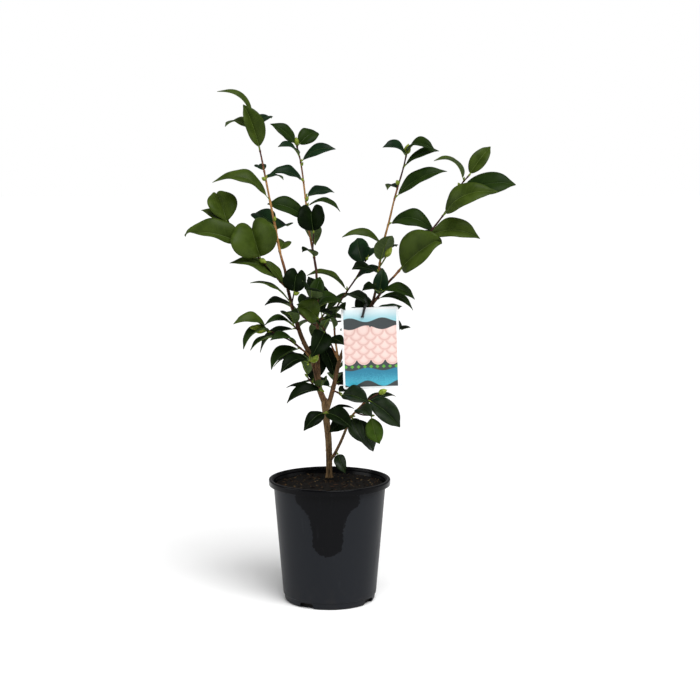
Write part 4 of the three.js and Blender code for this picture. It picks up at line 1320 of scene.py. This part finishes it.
def bud_finish(name, dark, light):
    return grained_finish(name, dark, light, (200, (1, 1, 0.5)), (0.3, 0.7), (0.42, 0.15), 0.08, 0.2)


bud_rows = []
dice = random.Random(5)
for name, shoot in SHOOTS.items():
    line = StemLine(shoot["line"])
    for share, right, away, up, thick in shoot.get("buds", []):
        foot = line.point(share)
        way = np.array([right, away, up], float)
        if node_trees[name].find(foot + way)[2] < BUD_FOUND * thick:
            bud_rows.append((foot, way, thick))
for line, share, way, thick in leaf_roots:
    if share <= 0.96 and dice.random() < 0.75:
        lean = unit(unit(way) * 0.8 + line.heading(share))
        size = dice.uniform(2, 3)
        bud_rows.append((line.point(share) + lean * 0.5 * thick, lean * size * dice.uniform(2.4, 3), size))
for _, line, _, _, _ in stems:
    heading = line.heading(1)
    size = dice.uniform(2.6, 3.6)
    bud_rows.append((line.point(1) - heading, heading * size * dice.uniform(2.4, 3.1), size))

bud_looks = [
    bud_finish("bud_scale", tint(92, 110, 26), tint(124, 140, 40)),
    bud_finish("bud_scale_edge", tint(118, 132, 46), tint(144, 154, 66)),
    bud_finish("bud_stalk", tint(66, 76, 26), tint(90, 100, 36)),
]
buds = add_piece("buds", joined([bud_mesh(*row, dice) for row in bud_rows]), bud_looks)
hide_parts(*SHOOTS)


# Two printed plastic cards, cut from one sheet with rounded corners, hang one behind the other. The
# front one is printed with a plain pattern inside a white border, and the back one is white.

CARD_WIDTH = 94
CARD_HEIGHT = 135
CARD_THICK = 1
CARD_PLACE = (66, 2, 423)
CARD_TOP = CARD_PLACE[2] + CARD_HEIGHT / 2
CARD_ROUND = 4
# Half the thickness of each of the two cards
CARD_DEPTH = 0.35
CARD_BOW = 1.2
CARD_ROWS = 30
CARD_COLUMNS = 18
CORNER_STEPS = 7
CARD_CREASE = 50


def card_mesh(lean, back):
    """A card of a grid of places with rounded corners, bowed a little and leaning in its own plane."""
    bend = np.linspace(0, math.pi / 2, CORNER_STEPS)
    inset = CARD_ROUND * (1 - np.sin(bend))
    across = np.concatenate([
        CARD_ROUND * (1 - np.cos(bend)),
        np.linspace(CARD_ROUND, CARD_WIDTH - CARD_ROUND, CARD_COLUMNS)[1:-1],
        CARD_WIDTH - CARD_ROUND * (1 - np.cos(bend[::-1])),
    ]) - CARD_WIDTH / 2
    insets = np.concatenate([inset, np.zeros(CARD_COLUMNS - 2), inset[::-1]])
    a = math.radians(-lean)
    places = []
    spots = []
    for depth in (-CARD_DEPTH, CARD_DEPTH):
        for x, short in zip(across, insets):
            for i in range(CARD_ROWS + 1):
                z = -CARD_HEIGHT / 2 + (CARD_HEIGHT / 2 - short) * (2 * i / CARD_ROWS - 1)
                bow = CARD_BOW * ((2 * x / CARD_WIDTH) ** 2 - 0.4)
                right = CARD_PLACE[0] + (x * math.cos(a) + z * math.sin(a))
                up = CARD_TOP + (z * math.cos(a) - x * math.sin(a))
                places.append((right, CARD_PLACE[1] + back + depth - bow, up))
                spots.append((x / CARD_WIDTH + 0.5, z / CARD_HEIGHT + 1))
    wide = len(across)
    high = CARD_ROWS + 1
    below = wide * high
    faces = []
    kinds = []
    for i in range(wide - 1):
        for j in range(CARD_ROWS):
            a, b = i * high + j, (i + 1) * high + j
            faces.append([a, b, b + 1, a + 1])
            faces.append([below + a, below + a + 1, below + b + 1, below + b])
            kinds.extend([0, 1])
    rim = [*range(high), *[(i + 1) * high - 1 for i in range(1, wide)]]
    rim += [(wide - 1) * high + j for j in range(CARD_ROWS - 1, -1, -1)]
    rim += [i * high for i in range(wide - 2, 0, -1)]
    for a, b in zip(rim, rim[1:] + rim[:1]):
        faces.append([a, b, below + b, below + a])
        kinds.append(1)
    return places, faces, kinds, spots


def printed_finish():
    """A plain pattern: fish scales on slate over bands of teal, inside a white border."""
    finish, wire = start_finish("printed_card_face")
    right, up, _ = wire.axes(wire.node("ShaderNodeUVMap", {"uv_map": "pattern"}))
    grain = wire.mottle(700, detail=2.0)
    slate = grain.mix(tint(44, 52, 54), tint(56, 64, 66))
    colour = slate
    # Rows of fish scales from the lowest up, each half a step along and over the one below it
    for row in range(7):
        x = wire.math("FRACT", right * 4 + 0.5 * (row % 2)) - 0.5
        y = (up - 0.38 - 0.058 * row) * 5.7
        far = wire.math("SQRT", x * x + y * y)
        petal = far.ramp(0.15, 0.48).mix(tint(236, 210, 203), tint(222, 186, 178))
        petal = (1 - abs(far - 0.4).ramp(0.005, 0.02)).mix(petal, tint(206, 156, 148))
        colour = (1 - far.ramp(0.49, 0.5)).mix(colour, petal)
    sway = wire.math("SINE", right * 11) * 0.018
    teal = (1 - (up + sway).ramp(0.235, 0.245)) * (up + sway * 2).ramp(0.06, 0.07)
    colour = teal.mix(colour, (up * 5 + grain).ramp(0.6, 1.6).mix(tint(70, 180, 205), tint(24, 120, 150)))
    colour = (up + sway * 1.4).ramp(0.752, 0.756).mix(colour, slate)
    sky = (up - sway * 1.4).ramp(0.845, 0.85)
    colour = sky.mix(colour, up.ramp(0.84, 0.98).mix(tint(150, 205, 216), tint(226, 240, 244)))
    lozenge = 1 - (abs(wire.math("FRACT", right * 9) - 0.5) + abs(up - 0.272) * 14).ramp(0.3, 0.33)
    colour = lozenge.mix(colour, tint(86, 158, 48))
    border = wire.math("MAXIMUM", abs(right - 0.5).ramp(0.463, 0.466), abs(up - 0.5).ramp(0.474, 0.476))
    colour = border.mix(colour, tint(240, 243, 244))
    return end_finish(finish, colour, 0.3 + 0.1 * grain, grain, 0.02, {"Coat Weight": 0.2})


def white_card_finish():
    finish, wire = start_finish("white_card_plastic")
    grain = wire.mottle(600, detail=2.0)
    colour = grain.mix(tint(228, 232, 233), tint(238, 241, 242))
    return end_finish(finish, colour, 0.36 + 0.1 * grain, grain, 0.02)


white = white_card_finish()
for name, lean, back, face in (("card_front", 1.8, 0, printed_finish()), ("card_back", 3.2, 1.3, white)):
    card = add_piece("printed_" + name, card_mesh(lean, back), [face, white], crease=CARD_CREASE)
    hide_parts(name)


# The strap is a black nylon tie, closed in a ring round the bough. Its tongue comes down over the top
# of the cards and ends in a small cross bar, which is pushed through a hole in them.

STRAP_WIDTH = 5
STRAP_THICK = 1.4
STRAP_RING = 5.2
STRAP_SHARE = 0.72
STRAP_REACH = 18
BAND_SIDES = 12
RING_STEPS = 40


def swept_band(middles, wides, outs, width, thick, closed=False):
    """A flat band with rounded edges along a row of places. wides and outs give its own directions."""
    corners = []
    for k in range(BAND_SIDES):
        a = 2 * math.pi * (k + 0.5) / BAND_SIDES
        x = math.copysign(abs(math.cos(a)) ** 0.45, math.cos(a))
        y = math.copysign(abs(math.sin(a)) ** 0.7, math.sin(a))
        corners.append((0.5 * width * x, 0.5 * thick * y))
    places = []
    for middle, wide, out in zip(middles, wides, outs):
        places.extend(middle + wide * x + out * y for x, y in corners)
    count = len(middles)
    faces = []
    for i in range(count if closed else count - 1):
        n = (i + 1) % count
        for j in range(BAND_SIDES):
            k = (j + 1) % BAND_SIDES
            faces.append([BAND_SIDES * row + column for row, column in ((i, j), (i, k), (n, k), (n, j))])
    if not closed:
        faces += [list(range(BAND_SIDES - 1, -1, -1)), list(range(len(places) - BAND_SIDES, len(places)))]
    return places, faces


def strap_finish():
    finish, wire = start_finish("black_nylon")
    ribs = wire.mottle(900, (1, 1, 0.4), 2.0)
    wear = wire.mottle(260).ramp(0.55, 0.75)
    colour = wear.mix(tint(20, 21, 23), tint(46, 47, 50))
    return end_finish(finish, colour, 0.42 + 0.15 * wear, ribs, 0.08)


bough = limb_lines["bough_right"]
centre = bough.point(STRAP_SHARE)
heading = bough.heading(STRAP_SHARE)
first = unit(np.cross(heading, UP))
second = np.cross(heading, first)
turns = 2 * np.pi * np.arange(RING_STEPS) / RING_STEPS
spokes = [first * math.cos(t) + second * math.sin(t) for t in turns]
ring_places = [centre + spoke * (STRAP_RING - STRAP_THICK / 2) for spoke in spokes]
ring = swept_band(ring_places, [heading] * RING_STEPS, spokes, STRAP_WIDTH, STRAP_THICK, closed=True)
x, y = CARD_PLACE[:2]
face_y = y - CARD_THICK / 2 - 0.3 - STRAP_THICK / 2
tongue = StemLine([
    [centre[0] - 1, centre[1] - STRAP_RING + 0.6, centre[2]],
    [x - 6, y + 6, CARD_TOP + 4], [x - 7, y - 1, CARD_TOP + 2.6],
    [x - 8.5, face_y - 0.7, CARD_TOP - 3], [x - 12, face_y - 0.5, CARD_TOP - STRAP_REACH + 1],
])
shares = np.linspace(0.005, 0.99, 36)
along = [tongue.heading(share) for share in shares]
wides = [unit(np.array([1.0, 0, 0]) - way * way[0]) for way in along]
outs = [np.cross(wide, way) for wide, way in zip(wides, along)]
strip = swept_band([tongue.point(share) for share in shares], wides, outs, STRAP_WIDTH * 0.8, STRAP_THICK)
end = tongue.point(0.97)
bar_spots = [end + np.array([offset, -0.3, 0]) for offset in np.linspace(-2.6, 2.6, 9)]
bar = swept_band(bar_spots, [UP] * 9, [FRONT] * 9, 2.6, 2)
strap = add_piece("card_strap", joined([ring, strip, bar]), [strap_finish()], crease=60)
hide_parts("strap")


# The shrub stands on a plain pale floor in soft studio light: a broad sun-like lamp from above, and a
# large lamp at either side for the sheen along the pot. Neither is part of the shrub.

FLOOR_REACH = 30000
floor_finish, wire = start_finish("pale_floor")
dust = wire.mottle(3)
end_finish(floor_finish, dust.mix(tint(240, 240, 240), tint(243, 243, 243)), 0.9)
floor_corners = [(x * FLOOR_REACH, y * FLOOR_REACH, -0.2) for x, y in ((-1, -1), (1, -1), (1, 1), (-1, 1))]
floor = add_piece("floor", (floor_corners, [[0, 1, 2, 3]]), [floor_finish])

world = bpy.data.worlds.new("studio")
bpy.context.scene.world = world
world.use_nodes = True
sky = Wire(world.node_tree)
seen = sky.node("ShaderNodeLightPath", out="Is Camera Ray")
background = world.node_tree.nodes["Background"]
background.inputs["Color"].default_value = (1, 1, 1, 1)
world.node_tree.links.new((0.25 + 0.75 * seen).socket, background.inputs["Strength"])


def lamp(name, kind, power, place, aim, **settings):
    light = bpy.data.lights.new(name, kind)
    light.energy = power
    for setting, value in settings.items():
        setattr(light, setting, value)
    holder = new_object(name, light)
    holder.location = place
    way = np.array(aim) - np.array(place)
    flat = math.hypot(way[0], way[1])
    holder.rotation_euler = (math.atan2(flat, -way[2]), 0, math.atan2(-way[0], way[1]))


lamp("sky_lamp", "SUN", 3.7, (0.8, -1.5, 2.9), (0, 0, 0.4), angle=math.radians(45))
lamp("left_lamp", "AREA", 18, (-1.9, -0.5, 1.0), (0, 0, 0.3), size=1.4)
lamp("right_lamp", "AREA", 6.5, (1.9, -0.3, 1.0), (0, 0, 0.3), size=1.4)

bpy.context.scene.view_settings.view_transform = "Standard"
